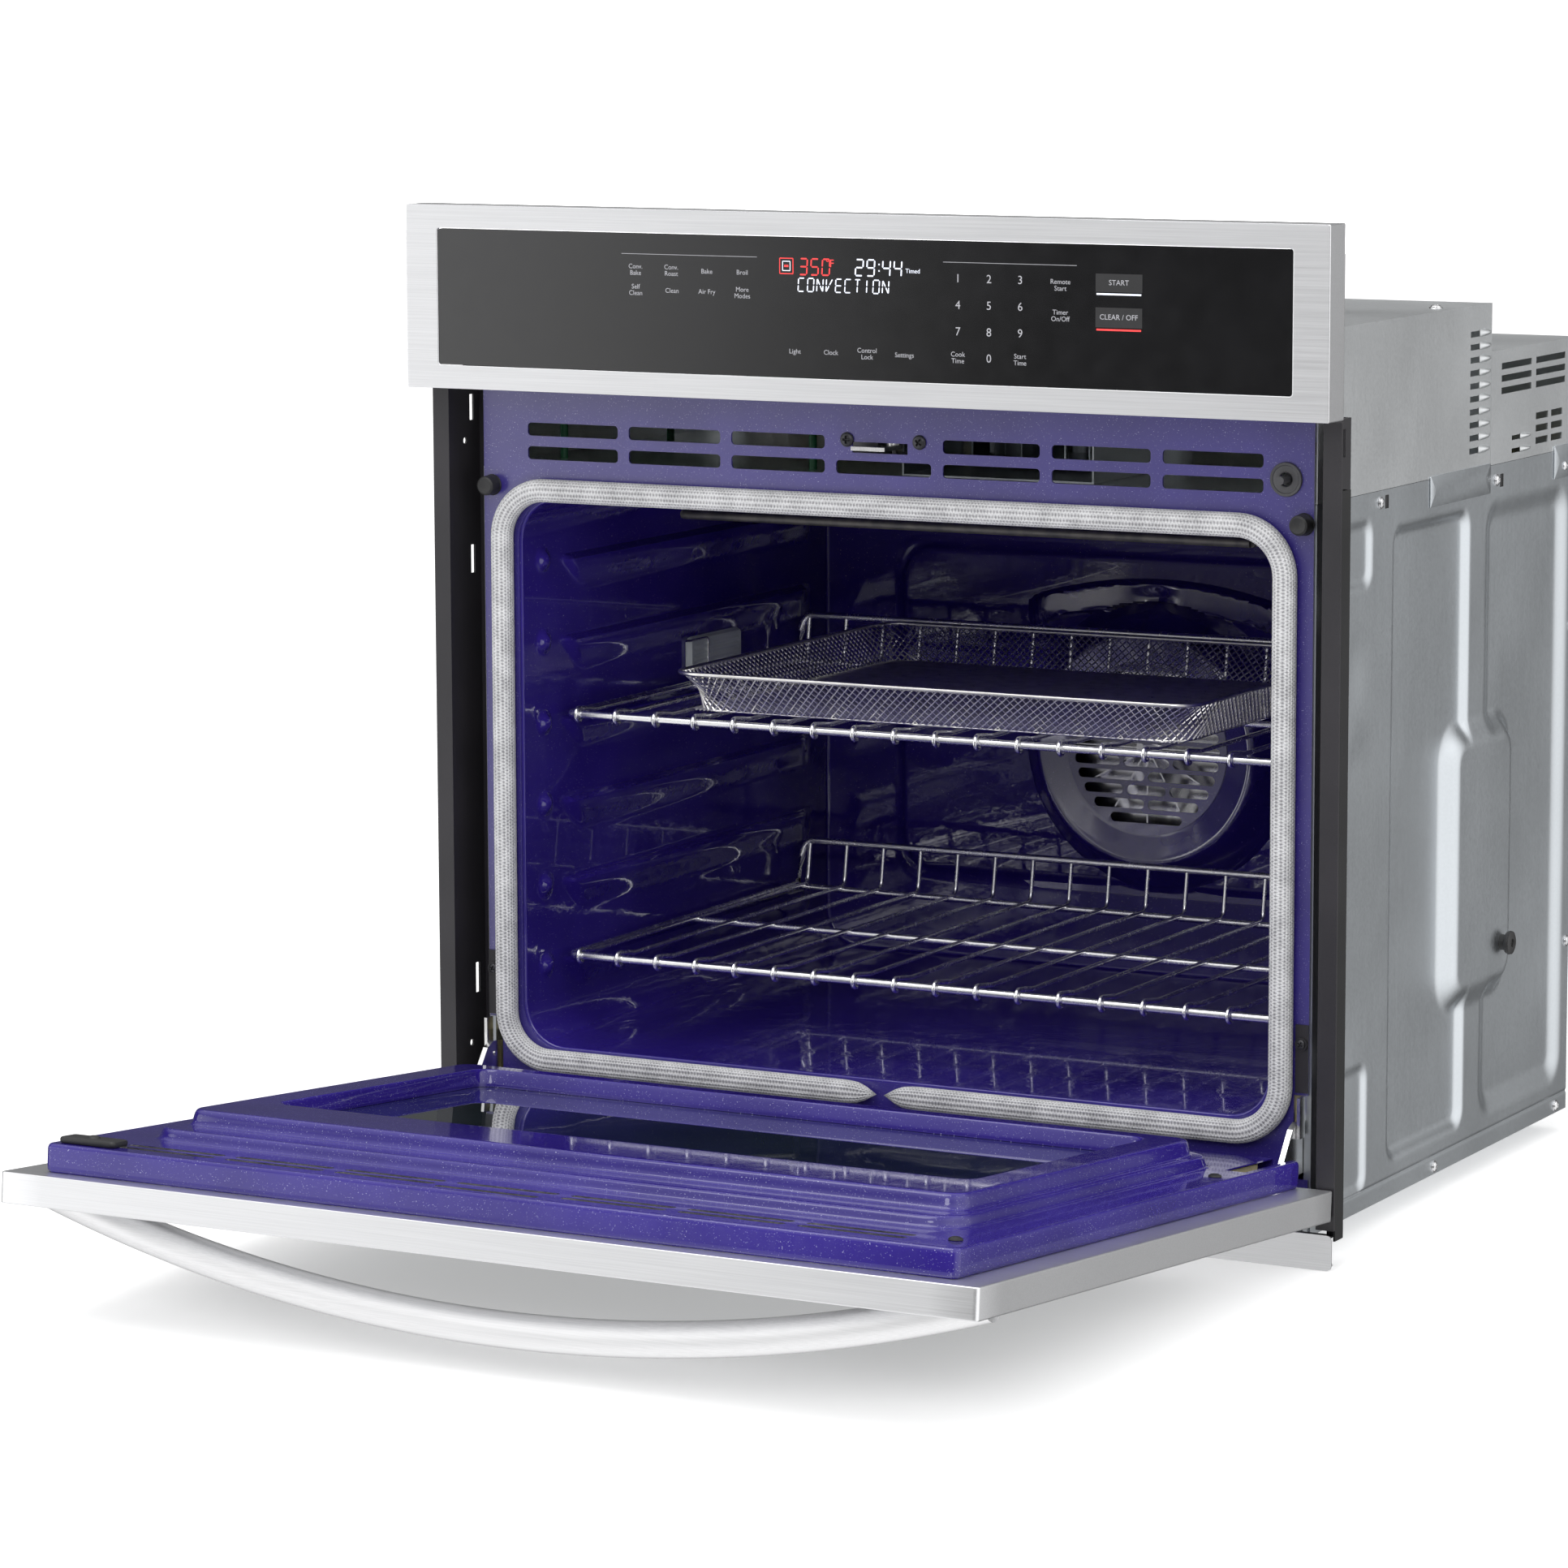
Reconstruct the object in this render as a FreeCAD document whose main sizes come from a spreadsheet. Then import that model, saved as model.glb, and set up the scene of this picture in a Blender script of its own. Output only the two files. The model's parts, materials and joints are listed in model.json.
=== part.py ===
import FreeCAD, Part
import math
import os
import re

# Built-in electric wall oven, millimetres.
# +X is the oven's right seen from the front, +Y runs back into the cabinet, +Z is up.
# The origin is the middle of the cabinet-face line on the underside of the body:
# Y = 0 is the face of the cabinet, Z = 0 is the shelf that the base pan stands on.

os.makedirs("parts", exist_ok=True)
doc = FreeCAD.newDocument("WallOven")
V = FreeCAD.Vector

SIZES = {
    # control panel
    "fascia_half": 378, "fascia_front": -49, "fascia_back": -21.6, "fascia_low": 595.5, "fascia_top": 734,
    "window_half": 350, "window_low": 613.3, "window_top": 716.6, "glass_thick": 4,
    # body shell
    "body_half": 345.8, "body_back": 529, "shoulder_high": 532, "skin": 1.2,
    "cover_back": 343.4, "cover_high": 656, "vent_high": 619,
    # front frame and cavity
    "frame_face": 6, "frame_high": 592, "cavity_half": 312, "cavity_low": 84, "cavity_high": 508,
    "cavity_back": 507, "mouth_radius": 32, "gasket_half": 316, "gasket_wide": 18, "gasket_face": -6.6,
    "vent_wide": 79, "vent_step": 88.5, "vent_tall": 10, "vent_row_low": 539, "vent_row_high": 557,
    # rack guides and racks
    "ledge_low": 143.5, "ledge_step": 63.3, "ledge_reach": 14, "rack_half": 303, "rack_front": 59,
    "rack_back": 436, "rail_radius": 3, "wire_radius": 1.7, "wire_step": 34.5, "guard_high": 37,
    # air-fry tray
    "tray_half": 222, "tray_front": 72, "tray_back": 438.5, "tray_low": 340.2, "tray_high": 371.5,
    # convection fan
    "fan_high": 276, "fan_cover_face": 468, "fan_cover_radius": 92, "fan_radius": 74,
    # side trims
    "trim_out": 375, "trim_web": 361, "trim_front": -17.8, "trim_deep": 29, "trim_low": 12, "kick_face": -24,
    # door, in its own closed frame about the hinge line
    "hinge_back": -39, "hinge_high": 32, "door_open": 84.95, "door_half": 376, "door_low": -17,
    "door_high": 559, "door_face": -10, "door_rim": 12, "liner_half": 352, "liner_low": -13,
    "liner_high": 541.5, "liner_flat": 32, "step_one": 40, "step_two": 51,
    "arm_at": 338, "arm_thick": 4, "pin_radius": 3,
    "handle_high": 515, "handle_bow": 52.4, "handle_span": 350, "handle_radius": 12.6,
}

sheet = doc.addObject("Spreadsheet::Sheet", "Sizes")
for row, (alias, value) in enumerate(SIZES.items(), start=1):
    sheet.set("A%d" % row, alias)
    sheet.set("B%d" % row, str(value))
    sheet.setAlias("B%d" % row, alias)
doc.recompute()

nodes = {}


def size(alias):
    """A driving dimension read back from the sheet."""
    return float(sheet.get(alias))


def bind(item, prop, rule):
    """Tie a property to the sheet: bare names of driving dimensions become references."""
    text = re.sub(r"[a-z][a-z_]+", lambda m: "Sizes." * (m.group(0) in SIZES) + m.group(0), str(rule))
    item.setExpression(prop, text)


def box(tag, xs, ys, zs):
    """A block between (low, high) rules along X, Y and Z."""
    item = doc.addObject("Part::Box", tag)
    for prop, axis, (low, high) in zip(("Length", "Width", "Height"), "xyz", (xs, ys, zs)):
        bind(item, prop, "(%s) - (%s)" % (high, low))
        bind(item, "Placement.Base." + axis, low)
    return item


AIM = {
    "x": FreeCAD.Rotation(V(0, 1, 0), 90),
    "y": FreeCAD.Rotation(V(1, 0, 0), -90),
    "z": FreeCAD.Rotation(),
}


def rod(tag, axis, radius, long, at):
    """A cylinder that starts at the point `at` and runs along +axis."""
    item = doc.addObject("Part::Cylinder", tag)
    item.Placement = FreeCAD.Placement(V(), AIM[axis])
    bind(item, "Radius", radius)
    bind(item, "Height", long)
    for letter, rule in zip("xyz", at):
        bind(item, "Placement.Base." + letter, rule)
    return item


def fuse(tag, pieces):
    item = doc.addObject("Part::MultiFuse", tag)
    item.Shapes = pieces
    return item


def group(tag, pieces):
    item = doc.addObject("Part::Compound", tag)
    item.Links = pieces
    return item


def cut(tag, base, tools):
    item = doc.addObject("Part::Cut", tag)
    item.Base = base
    item.Tool = tools[0] if len(tools) == 1 else group(tag + "_tools", tools)
    return item


def rounded(tag, source, axis, radius, where=lambda middle: True):
    """Round the straight edges of `source` that are parallel to the axis and pass the test."""
    doc.recompute()
    along = {"x": V(1, 0, 0), "y": V(0, 1, 0), "z": V(0, 0, 1)}[axis]
    picked = []
    for number, edge in enumerate(source.Shape.Edges, start=1):
        if isinstance(edge.Curve, Part.Line) and where(edge.CenterOfMass):
            if abs(edge.tangentAt(edge.FirstParameter).dot(along)) > 0.99:
                picked.append((number, radius, radius))
    item = doc.addObject("Part::Fillet", tag)
    item.Base = source
    item.Edges = picked
    return item


def node(label, item):
    """Register a finished sub-part under its own label."""
    item.Label = label
    nodes[label] = item
    return item


def door_node(label, item):
    """A sub-part drawn closed about the hinge line, then swung open with the door."""
    movable = item.TypeId in ("Part::Cut", "Part::MultiFuse", "Part::Compound")
    holder = item if movable else group(label + "_set", [item])
    holder.Placement = FreeCAD.Placement(V(), FreeCAD.Rotation(V(1, 0, 0), size("door_open")))
    bind(holder, "Placement.Base.y", "hinge_back")
    bind(holder, "Placement.Base.z", "hinge_high")
    return node(label, holder)


def shell(tag, xs, ys, zs, wall, open_side):
    """A sheet-metal box with one open side, such as '-y'."""
    outer = box(tag + "_outer", xs, ys, zs)
    limits = []
    for axis, (low, high) in zip("xyz", (xs, ys, zs)):
        low_rule = "(%s) - 1" % low if open_side == "-" + axis else "(%s) + %s" % (low, wall)
        high_rule = "(%s) + 1" % high if open_side == "+" + axis else "(%s) - %s" % (high, wall)
        limits.append((low_rule, high_rule))
    inner = box(tag + "_inner", *limits)
    return cut(tag + "_shell", outer, [inner])


SIDES = (("left", -1), ("right", 1))


def span(side, near, far):
    """X limits of something between two distances from the middle, on one side."""
    return ("%s" % near, "%s" % far) if side > 0 else ("-(%s)" % far, "-(%s)" % near)


# ---------------------------------------------------------------- control panel

fascia = shell("fascia", ("-fascia_half", "fascia_half"), ("fascia_front", "fascia_back"),
               ("fascia_low", "fascia_top"), "1.5", "+y")
window = rounded("fascia_window", box("fascia_window_block", ("-window_half", "window_half"),
                 ("fascia_front - 1", "fascia_front + 3"), ("window_low", "window_top")), "y", 2.5)
node("fascia_frame", cut("fascia_cut", fascia, [window]))

node("control_glass", rounded("glass_round", box("glass_block", ("-window_half + 0.4", "window_half - 0.4"),
     ("fascia_front + 0.6", "fascia_front + 0.6 + glass_thick"), ("window_low + 0.4", "window_top - 0.4")), "y", 2.2))

board_parts = [box("display_plate", (-250, 300), ("fascia_front + 8", "fascia_front + 9.6"), (622, 708)),
               box("display_tube", (-60, 60), ("fascia_front + 4.9", "fascia_front + 8"), (672, 704))]
node("display_board", fuse("display_fuse", board_parts))

relay_parts = [box("relay_plate", (-320, -90), (70, 250), (566, 568))]
for number, (x, y, wide, deep, tall) in enumerate(
        ((-300, 90, 32, 28, 26), (-255, 90, 32, 28, 26), (-210, 90, 32, 28, 26), (-160, 95, 50, 44, 38),
         (-300, 170, 60, 40, 14), (-210, 180, 24, 24, 30), (-165, 180, 24, 24, 30))):
    relay_parts.append(box("relay_part_%d" % number, (x, x + wide), (y, y + deep), (568, 568 + tall)))
for number, (x, y) in enumerate(((-314, 76), (-96, 76), (-314, 244), (-96, 244))):
    relay_parts.append(rod("relay_post_%d" % number, "z", 3, 32.5, (x, y, "shoulder_high + 1.6")))
node("control_board", fuse("relay_fuse", relay_parts))

# ---------------------------------------------------------------- front frame and cavity

frame_plate = box("frame_plate", ("-body_half + skin + 0.3", "body_half - skin - 0.3"), ("frame_face", "frame_face + 1.5"),
                  (15, "frame_high"))
mouth = rounded("frame_mouth", box("frame_mouth_block", ("-cavity_half - 2", "cavity_half + 2"),
                ("frame_face - 1", "frame_face + 3"), ("cavity_low - 2", "cavity_high + 2")), "y", 34)
frame_cuts = [mouth]
for row, low in enumerate(("vent_row_low", "vent_row_high")):
    for column in range(-3, 4):
        if row == 1 and column == 0:
            continue
        middle = "%d * vent_step" % column
        block = box("frame_vent_%d_%d" % (row, column + 3),
                    (middle + " - vent_wide / 2", middle + " + vent_wide / 2"),
                    ("frame_face - 1", "frame_face + 3"), (low, low + " + vent_tall"))
        frame_cuts.append(rounded("frame_vent_round_%d_%d" % (row, column + 3), block, "y", 3))
frame_cuts.append(box("frame_latch_slot", (-26, 20), ("frame_face - 1", "frame_face + 3"), (555, 563)))
for tag, side in SIDES:
    frame_cuts.append(box("frame_arm_slot_" + tag, span(side, "arm_at - 5", "arm_at + 7"),
                          ("frame_face - 1", "frame_face + 3"), (42, 104)))
frame_cuts.append(rod("frame_switch_hole", "y", 5, 5, (323, "frame_face - 1", 549.6)))
node("front_frame", cut("frame_cut", frame_plate, frame_cuts))

liner_outer = rounded("cavity_outer", box("cavity_outer_block", ("-cavity_half - 1", "cavity_half + 1"),
                      ("frame_face + 1.6", "cavity_back + 1"), ("cavity_low - 1", "cavity_high + 1")), "y", 33)
liner_flange = box("cavity_flange", ("-cavity_half - 20", "cavity_half + 20"),
                   ("frame_face + 1.6", "frame_face + 2.8"), ("cavity_low - 20", "cavity_high + 20"))
liner_inner = rounded("cavity_inner", box("cavity_inner_block", ("-cavity_half", "cavity_half"),
                      ("frame_face - 2", "cavity_back"), ("cavity_low", "cavity_high")), "y", 32)
liner_holes = [rod("cavity_shaft_hole", "y", 9, 20, (0, "cavity_back - 10", "fan_high")),
               rod("cavity_lamp_hole", "x", 22, 20, ("-cavity_half - 10", 306, 357))]
for side_tag, side in SIDES:
    liner_holes.append(rod("cavity_element_hole_" + side_tag, "y", 4.4, 20, (side * 40, "cavity_back - 10", 200)))
    liner_holes.append(rod("cavity_broil_hole_" + side_tag, "y", 4.4, 20, (side * 60, "cavity_back - 10", 488)))
liner_holes.append(rod("cavity_sensor_hole", "y", 3.3, 20, (-200, "cavity_back - 10", 470)))
liner_box = cut("cavity_box", fuse("cavity_outside", [liner_outer, liner_flange]), [liner_inner] + liner_holes)
ledges = [liner_box]
for tag, side in SIDES:
    for step in range(6):
        top = "ledge_low + %d * ledge_step" % step
        lamp_gap = tag == "left" and step == 3
        stretches = ((30, 262), (350, 450)) if lamp_gap else ((30, 450),)
        for part, (start, stop) in enumerate(stretches):
            ledges.append(box("ledge_%s_%d_%d" % (tag, step, part),
                              span(side, "cavity_half - ledge_reach", "cavity_half + 0.5"),
                              (start, stop), (top + " - 7", top)))
node("cavity_liner", fuse("cavity_fuse", ledges))

wool_outer = box("wool_outer", ("-cavity_half - 28", "cavity_half + 28"), (12, 525), (58, 527))
wool_inner = box("wool_inner", ("-cavity_half - 1.6", "cavity_half + 1.6"), (8, "cavity_back + 1.6"),
                 ("cavity_low - 1.6", "cavity_high + 1.6"))
wool_cuts = [wool_inner, rod("wool_shaft_hole", "y", 12, 40, (0, 500, "fan_high")),
             rod("wool_lamp_hole", "x", 24, 40, ("-cavity_half - 35", 306, 357)),
             box("wool_sensor_slot", (-206, -194), (500, 530), (464, 476)),
             box("wool_broil_slot", (-66, 66), (500, 530), (482, 494)),
             box("wool_element_slot", (-46, 46), (500, 530), (194, 206)),
             box("wool_bake_slot", (-250, 250), (40, 526), (70, 82.3))]
for tag, side in SIDES:
    wool_cuts.append(box("wool_arm_slot_" + tag, span(side, "arm_at - 5", "arm_at + 5"), (10, 41), (44, 92)))
node("insulation", cut("wool_cut", wool_outer, wool_cuts))

gasket_outer = rounded("gasket_outer", box("gasket_outer_block",
                       ("-gasket_half - gasket_wide", "gasket_half + gasket_wide"), ("gasket_face", "frame_face - 0.1"),
                       ("cavity_low - 1 - gasket_wide", "cavity_high + gasket_wide - 1")), "y", 48)
gasket_inner = rounded("gasket_inner", box("gasket_inner_block", ("-gasket_half", "gasket_half"),
                       ("gasket_face - 1", "frame_face + 1"), ("cavity_low - 1", "cavity_high - 1")), "y", 28)
gasket_ring = cut("gasket_cut", gasket_outer, [gasket_inner])
node("door_gasket", gasket_ring)

bumpers = []
for tag, side in SIDES:
    bumpers.append(rod("bumper_" + tag, "y", 7.5, "frame_face - 0.1 - gasket_face", (side * 337, "gasket_face", 518)))
node("frame_bumpers", group("bumper_group", bumpers))

# ---------------------------------------------------------------- body shell

for tag, side in SIDES:
    plate = box("side_plate_" + tag, span(side, "body_half - skin", "body_half"), (8, "body_back"), (0, "shoulder_high"))
    ridge = rounded("side_ridge_" + tag, box("side_ridge_block_" + tag, span(side, "body_half - 0.2", "body_half + 6"),
                    (262, 393), (125, 335)), "x", 30)
    node("side_panel_" + tag, fuse("side_fuse_" + tag, [plate, ridge]))

node("base_pan", shell("base", ("-body_half + skin + 0.2", "body_half - skin - 0.2"), (-2, "body_back - 1.6"),
                       (0, 13.7), "1.2", "+z"))

back_plate = box("back_plate", ("-body_half + skin + 0.2", "body_half - skin - 0.2"), ("body_back - 1.3", "body_back"),
                 (1.6, "shoulder_high - 1"))
node("back_panel", cut("back_cut", back_plate, [rod("back_motor_hole", "y", 46, 8, (0, "body_back - 4", "fan_high"))]))

node("motor_cover", shell("motor_cover", (-110, 110), ("body_back + 0.2", "body_back + 58"), (176, 376), "1.2", "-y"))

cover_box = shell("cover", ("-body_half", "body_half"), ("fascia_back + 0.4", "cover_back"),
                  ("shoulder_high + 0.3", "cover_high"), "skin", "-y")
cover_cuts = [box("cover_front_opening", ("-body_half - 1", "body_half + 1"), ("fascia_back - 1", 8.5),
                  ("shoulder_high - 1", "fascia_low - 1.5"))]
for row in range(10):
    for tag, side in SIDES:
        cover_cuts.append(box("cover_louvre_%s_%d" % (tag, row), span(side, "body_half - 3", "body_half + 1"),
                              (300, 336), (544 + 9.8 * row, 548.5 + 9.8 * row)))
cover_cuts.append(box("cover_back_hole", (-300, 300), ("cover_back - 3", "cover_back + 1"),
                      ("shoulder_high - 1", "vent_high - 14")))
node("upper_cover", cut("cover_cut", cover_box, cover_cuts))

vent_box = shell("vent", ("-body_half", "body_half"), ("cover_back + 0.2", "body_back"),
                 ("shoulder_high + 0.3", "vent_high"), "skin", "-y")
vent_cuts = [box("vent_floor_opening", (-325, 325), (355, 515), ("shoulder_high - 1", "shoulder_high + 3"))]
for tag, side in SIDES:
    for row in range(3):
        for column, start in enumerate((365, 438)):
            vent_cuts.append(box("vent_slot_%s_%d_%d" % (tag, row, column), span(side, "body_half - 3", "body_half + 1"),
                                 (start, start + 63), (585 + 9.4 * row, 590 + 9.4 * row)))
vent_cuts.append(rod("vent_conduit_hole", "z", 11.2, 8, (250, 470, "vent_high - 4")))
node("rear_vent_box", cut("vent_cut", vent_box, vent_cuts))

gland_parts = [rod("gland_collar", "z", 17, 5, (250, 470, "vent_high + 0.1")),
               rod("gland_neck", "z", 11, 34, (250, 470, "vent_high - 12")),
               rod("gland_nut", "z", 15, 4, (250, 470, "vent_high - 6"))]
node("conduit_gland", cut("gland_cut", fuse("gland_fuse", gland_parts),
                          [rod("gland_bore", "z", 9, 50, (250, 470, "vent_high - 20"))]))

# ---------------------------------------------------------------- trims and cabinet rails

for tag, side in SIDES:
    trim = [box("trim_face_" + tag, span(side, "trim_web", "trim_out"), ("trim_front", "trim_front + 1.5"),
                ("trim_low", "fascia_low - 2")),
            box("trim_web_" + tag, span(side, "trim_web", "trim_web + 1.5"), ("trim_front", "trim_deep"),
                ("trim_low", "fascia_low - 2")),
            box("trim_foot_" + tag, span(side, "body_half + 0.2", "trim_web + 1.5"), ("trim_deep - 1.5", "trim_deep"),
                ("trim_low", "fascia_low - 2")),
            box("trim_return_" + tag, span(side, "trim_out - 1.5", "trim_out"), ("trim_front", -15.2),
                ("trim_low", "fascia_low - 2"))]
    trim_cuts = []
    for number, (low, high) in enumerate(((448, 470), (566, 586), (119, 143))):
        trim_cuts.append(box("trim_slot_%s_%d" % (tag, number), span(side, "trim_web - 1", "trim_web + 3"),
                             (13, 19), (low, high)))
    for number, high in enumerate((81, 551)):
        trim_cuts.append(rod("trim_hole_%s_%d" % (tag, number), "x", 2.6, 6,
                             ("%d * (trim_web + 0.75) - 3" % side, 6, high)))
    node("side_trim_" + tag, cut("trim_cut_" + tag, fuse("trim_fuse_" + tag, trim), trim_cuts))
    rail = [box("rail_back_" + tag, span(side, "trim_web + 2", "trim_out"), (-2, -0.2), (4, 545)),
            box("rail_side_" + tag, span(side, "trim_out - 1.5", "trim_out"), (-15, -0.2), (4, 545))]
    node("cabinet_rail_" + tag, fuse("rail_fuse_" + tag, rail))

kick = [rounded("kick_face", box("kick_face_block", ("-fascia_half + 2", "fascia_half - 2"),
                ("kick_face", "kick_face + 1.2"), (-16, 10)), "y", 4),
        box("kick_lip", ("-fascia_half + 8", "fascia_half - 8"), ("kick_face + 1", "kick_face + 17"), (-15.9, -14.7))]
node("bottom_trim", fuse("kick_fuse", kick))

bracket = [box("bracket_shelf", ("-fascia_half + 9", "fascia_half - 9"), ("kick_face + 1.4", -2.2), (4.5, 6)),
           box("bracket_drop", ("-fascia_half + 9", "fascia_half - 9"), ("kick_face + 1.4", "kick_face + 2.6"), (-12, 6)),
           box("bracket_rear", ("-body_half + 2", "body_half - 2"), (-3.6, -2.2), (0, 6))]
bracket_cuts = []
for number in range(12):
    x = -352 + number * 64
    bracket_cuts.append(rod("bracket_hole_%d" % number, "z", 3.5, 6, (x, -13, 2)))
node("trim_bracket", cut("bracket_cut", fuse("bracket_fuse", bracket), bracket_cuts))

# ---------------------------------------------------------------- cooling blower, above the cavity

BLOWER = (70, 200)
DECK = 533.8
scroll = [rod("scroll_outer", "z", 84, 46, BLOWER + (DECK,)),
          box("scroll_duct", (-12, 146), (60, 160), (DECK, DECK + 46))]
scroll_cuts = [rod("scroll_inner", "z", 82.6, 43.2, BLOWER + (DECK + 1.4,)),
               box("scroll_duct_inner", (-10.6, 144.6), (58, 162), (DECK + 1.4, DECK + 44.6)),
               rod("scroll_inlet", "z", 46, 6, BLOWER + (DECK + 42,))]
node("blower_housing", cut("scroll_cut", fuse("scroll_fuse", scroll), scroll_cuts))

motor = [rod("blower_motor_can", "z", 26, 34, BLOWER + (584.5,)),
         rod("blower_motor_shaft", "z", 3, 40, BLOWER + (546,))]
for tag, side in SIDES:
    motor.append(box("blower_motor_foot_" + tag, (BLOWER[0] + min(side * 22, side * 70), BLOWER[0] + max(side * 22, side * 70)),
                     (BLOWER[1] - 8, BLOWER[1] + 8), (582.2, 586)))
node("blower_motor", fuse("blower_motor_fuse", motor))

wheel = [rod("blower_disc", "z", 70, 1.6, BLOWER + (542,)),
         rod("blower_hub", "z", 9, 24, BLOWER + (542,))]
BLADES = 24
for number in range(BLADES):
    copy = doc.addObject("Part::Box", "blower_blade_%d" % number)
    for prop, rule in (("Length", 13), ("Width", 1.2), ("Height", 29.2)):
        bind(copy, prop, rule)
    turn = FreeCAD.Rotation(V(0, 0, 1), 360.0 * number / BLADES)
    start = turn.multVec(V(57, -0.6, 0))
    copy.Placement = FreeCAD.Placement(V(BLOWER[0] + start.x, BLOWER[1] + start.y, 543), turn)
    wheel.append(copy)
ring = cut("blower_ring", rod("blower_ring_outer", "z", 71, 3, BLOWER + (571,)),
           [rod("blower_ring_inner", "z", 62, 5, BLOWER + (570,))])
wheel.append(ring)
node("blower_wheel", cut("blower_wheel_cut", fuse("blower_wheel_fuse", wheel),
                         [rod("blower_bore", "z", 3.06, 40, BLOWER + (540,))]))

# ---------------------------------------------------------------- convection fan, behind the cavity

cover_cone = doc.addObject("Part::Cone", "fan_cover_cone")
bind(cover_cone, "Radius1", "fan_cover_radius + 14")
bind(cover_cone, "Radius2", "fan_cover_radius")
bind(cover_cone, "Height", "cavity_back - 1.5 - fan_cover_face")
cover_cone.Placement = FreeCAD.Placement(V(), FreeCAD.Rotation(V(1, 0, 0), 90))
bind(cover_cone, "Placement.Base.y", "cavity_back - 1.5")
bind(cover_cone, "Placement.Base.z", "fan_high")
cover_hollow = doc.addObject("Part::Cone", "fan_cover_hollow")
bind(cover_hollow, "Radius1", "fan_cover_radius + 13")
bind(cover_hollow, "Radius2", "fan_cover_radius - 1.2")
bind(cover_hollow, "Height", "cavity_back + 0.5 - fan_cover_face - 2.4")
cover_hollow.Placement = FreeCAD.Placement(V(), FreeCAD.Rotation(V(1, 0, 0), 90))
bind(cover_hollow, "Placement.Base.y", "cavity_back + 0.5")
bind(cover_hollow, "Placement.Base.z", "fan_high")
cover_plate = rounded("fan_cover_plate", box("fan_cover_plate_block", (-135, 135), ("cavity_back - 1.7", "cavity_back - 0.3"),
                      (148, 428)), "y", 24)
slots = []
for row in range(-5, 6):
    high = 11.6 * row
    reach = math.sqrt(66.0 ** 2 - high ** 2)
    count = 1 if abs(row) == 5 else (3 if row % 2 else 2)
    step = 2 * reach / count
    for column in range(count):
        start = -reach + column * step
        block = box("fan_slot_%d_%d" % (row + 5, column), (start + 2, start + step - 2),
                    ("fan_cover_face - 2", "fan_cover_face + 4"),
                    ("fan_high + %.1f - 4" % high, "fan_high + %.1f + 4" % high))
        slots.append(rounded("fan_slot_round_%d_%d" % (row + 5, column), block, "y", 3.9))
node("fan_cover", cut("fan_cover_cut", fuse("fan_cover_fuse", [cover_cone, cover_plate]), [cover_hollow] + slots))

fan = [rod("fan_hub", "y", 10, 18, (0, "fan_cover_face + 8", "fan_high")),
       rod("fan_disc", "y", "fan_radius", 1.2, (0, "fan_cover_face + 24", "fan_high"))]
FAN_BLADES = 12
for number in range(FAN_BLADES):
    copy = doc.addObject("Part::Box", "fan_blade_%d" % number)
    for prop, rule in (("Length", "fan_radius - 9"), ("Width", 17), ("Height", 1.2)):
        bind(copy, prop, rule)
    turn = FreeCAD.Rotation(V(0, 1, 0), 360.0 * number / FAN_BLADES)
    start = turn.multVec(V(8, 0, -0.6))
    copy.Placement = FreeCAD.Placement(V(start.x, size("fan_cover_face") + 8, size("fan_high") + start.z), turn)
    fan.append(copy)
node("convection_fan", cut("fan_cut", fuse("fan_fuse", fan),
                           [rod("fan_bore", "y", 3.06, 40, (0, "fan_cover_face + 4", "fan_high"))]))

motor = [rod("fan_motor_can", "y", 38, 40, (0, "body_back - 2", "fan_high")),
         rod("fan_motor_shaft", "y", 3, 56, (0, "fan_cover_face + 6", "fan_high"))]
motor.append(box("fan_motor_bridge", (-60, 60), ("body_back + 0.3", "body_back + 3"), ("fan_high - 12", "fan_high + 12")))
node("convection_motor", fuse("fan_motor_fuse", motor))

ring = doc.addObject("Part::Torus", "ring_element_loop")
bind(ring, "Radius1", 82)
bind(ring, "Radius2", 3.3)
ring.Placement = FreeCAD.Placement(V(), FreeCAD.Rotation(V(1, 0, 0), 90))
bind(ring, "Placement.Base.y", "cavity_back - 15")
bind(ring, "Placement.Base.z", "fan_high")
element = [ring]
for tag, side in SIDES:
    element.append(rod("ring_element_leg_" + tag, "y", 3.3, 30, (side * 40, "cavity_back - 15", 200)))
    element.append(rod("ring_element_link_" + tag, "z", 3.3, 6, (side * 40, "cavity_back - 15", 200)))
node("convection_element", fuse("ring_element_fuse", element))

# ---------------------------------------------------------------- heaters, sensor and lamp

BROIL_AT = 488
broil = [rod("broil_cross_front", "x", 3.6, 480, (-240, 133, BROIL_AT))]
for tag, side in SIDES:
    broil.append(rod("broil_leg_" + tag, "y", 3.6, 368, (side * 60, 150, BROIL_AT)))
    broil.append(rod("broil_inner_" + tag, "y", 3.6, 290, (side * 150, 150, BROIL_AT)))
    broil.append(rod("broil_outer_" + tag, "y", 3.6, 307, (side * 240, 133, BROIL_AT)))
    broil.append(rod("broil_turn_front_" + tag, "x", 3.6, 90, (min(side * 60, side * 150), 150, BROIL_AT)))
    broil.append(rod("broil_turn_rear_" + tag, "x", 3.6, 90, (min(side * 150, side * 240), 440, BROIL_AT)))
node("broil_element", fuse("broil_fuse", broil))

bake = []
for row in range(6):
    x = -200 + 80 * row
    bake.append(rod("bake_run_%d" % row, "y", 3.4, 380, (x, 80, 76)))
for row in range(5):
    x = -200 + 80 * row
    y = 80 if row % 2 else 460
    bake.append(rod("bake_turn_%d" % row, "x", 3.4, 80, (x, y, 76)))
node("bake_element", fuse("bake_fuse", bake))

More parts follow.
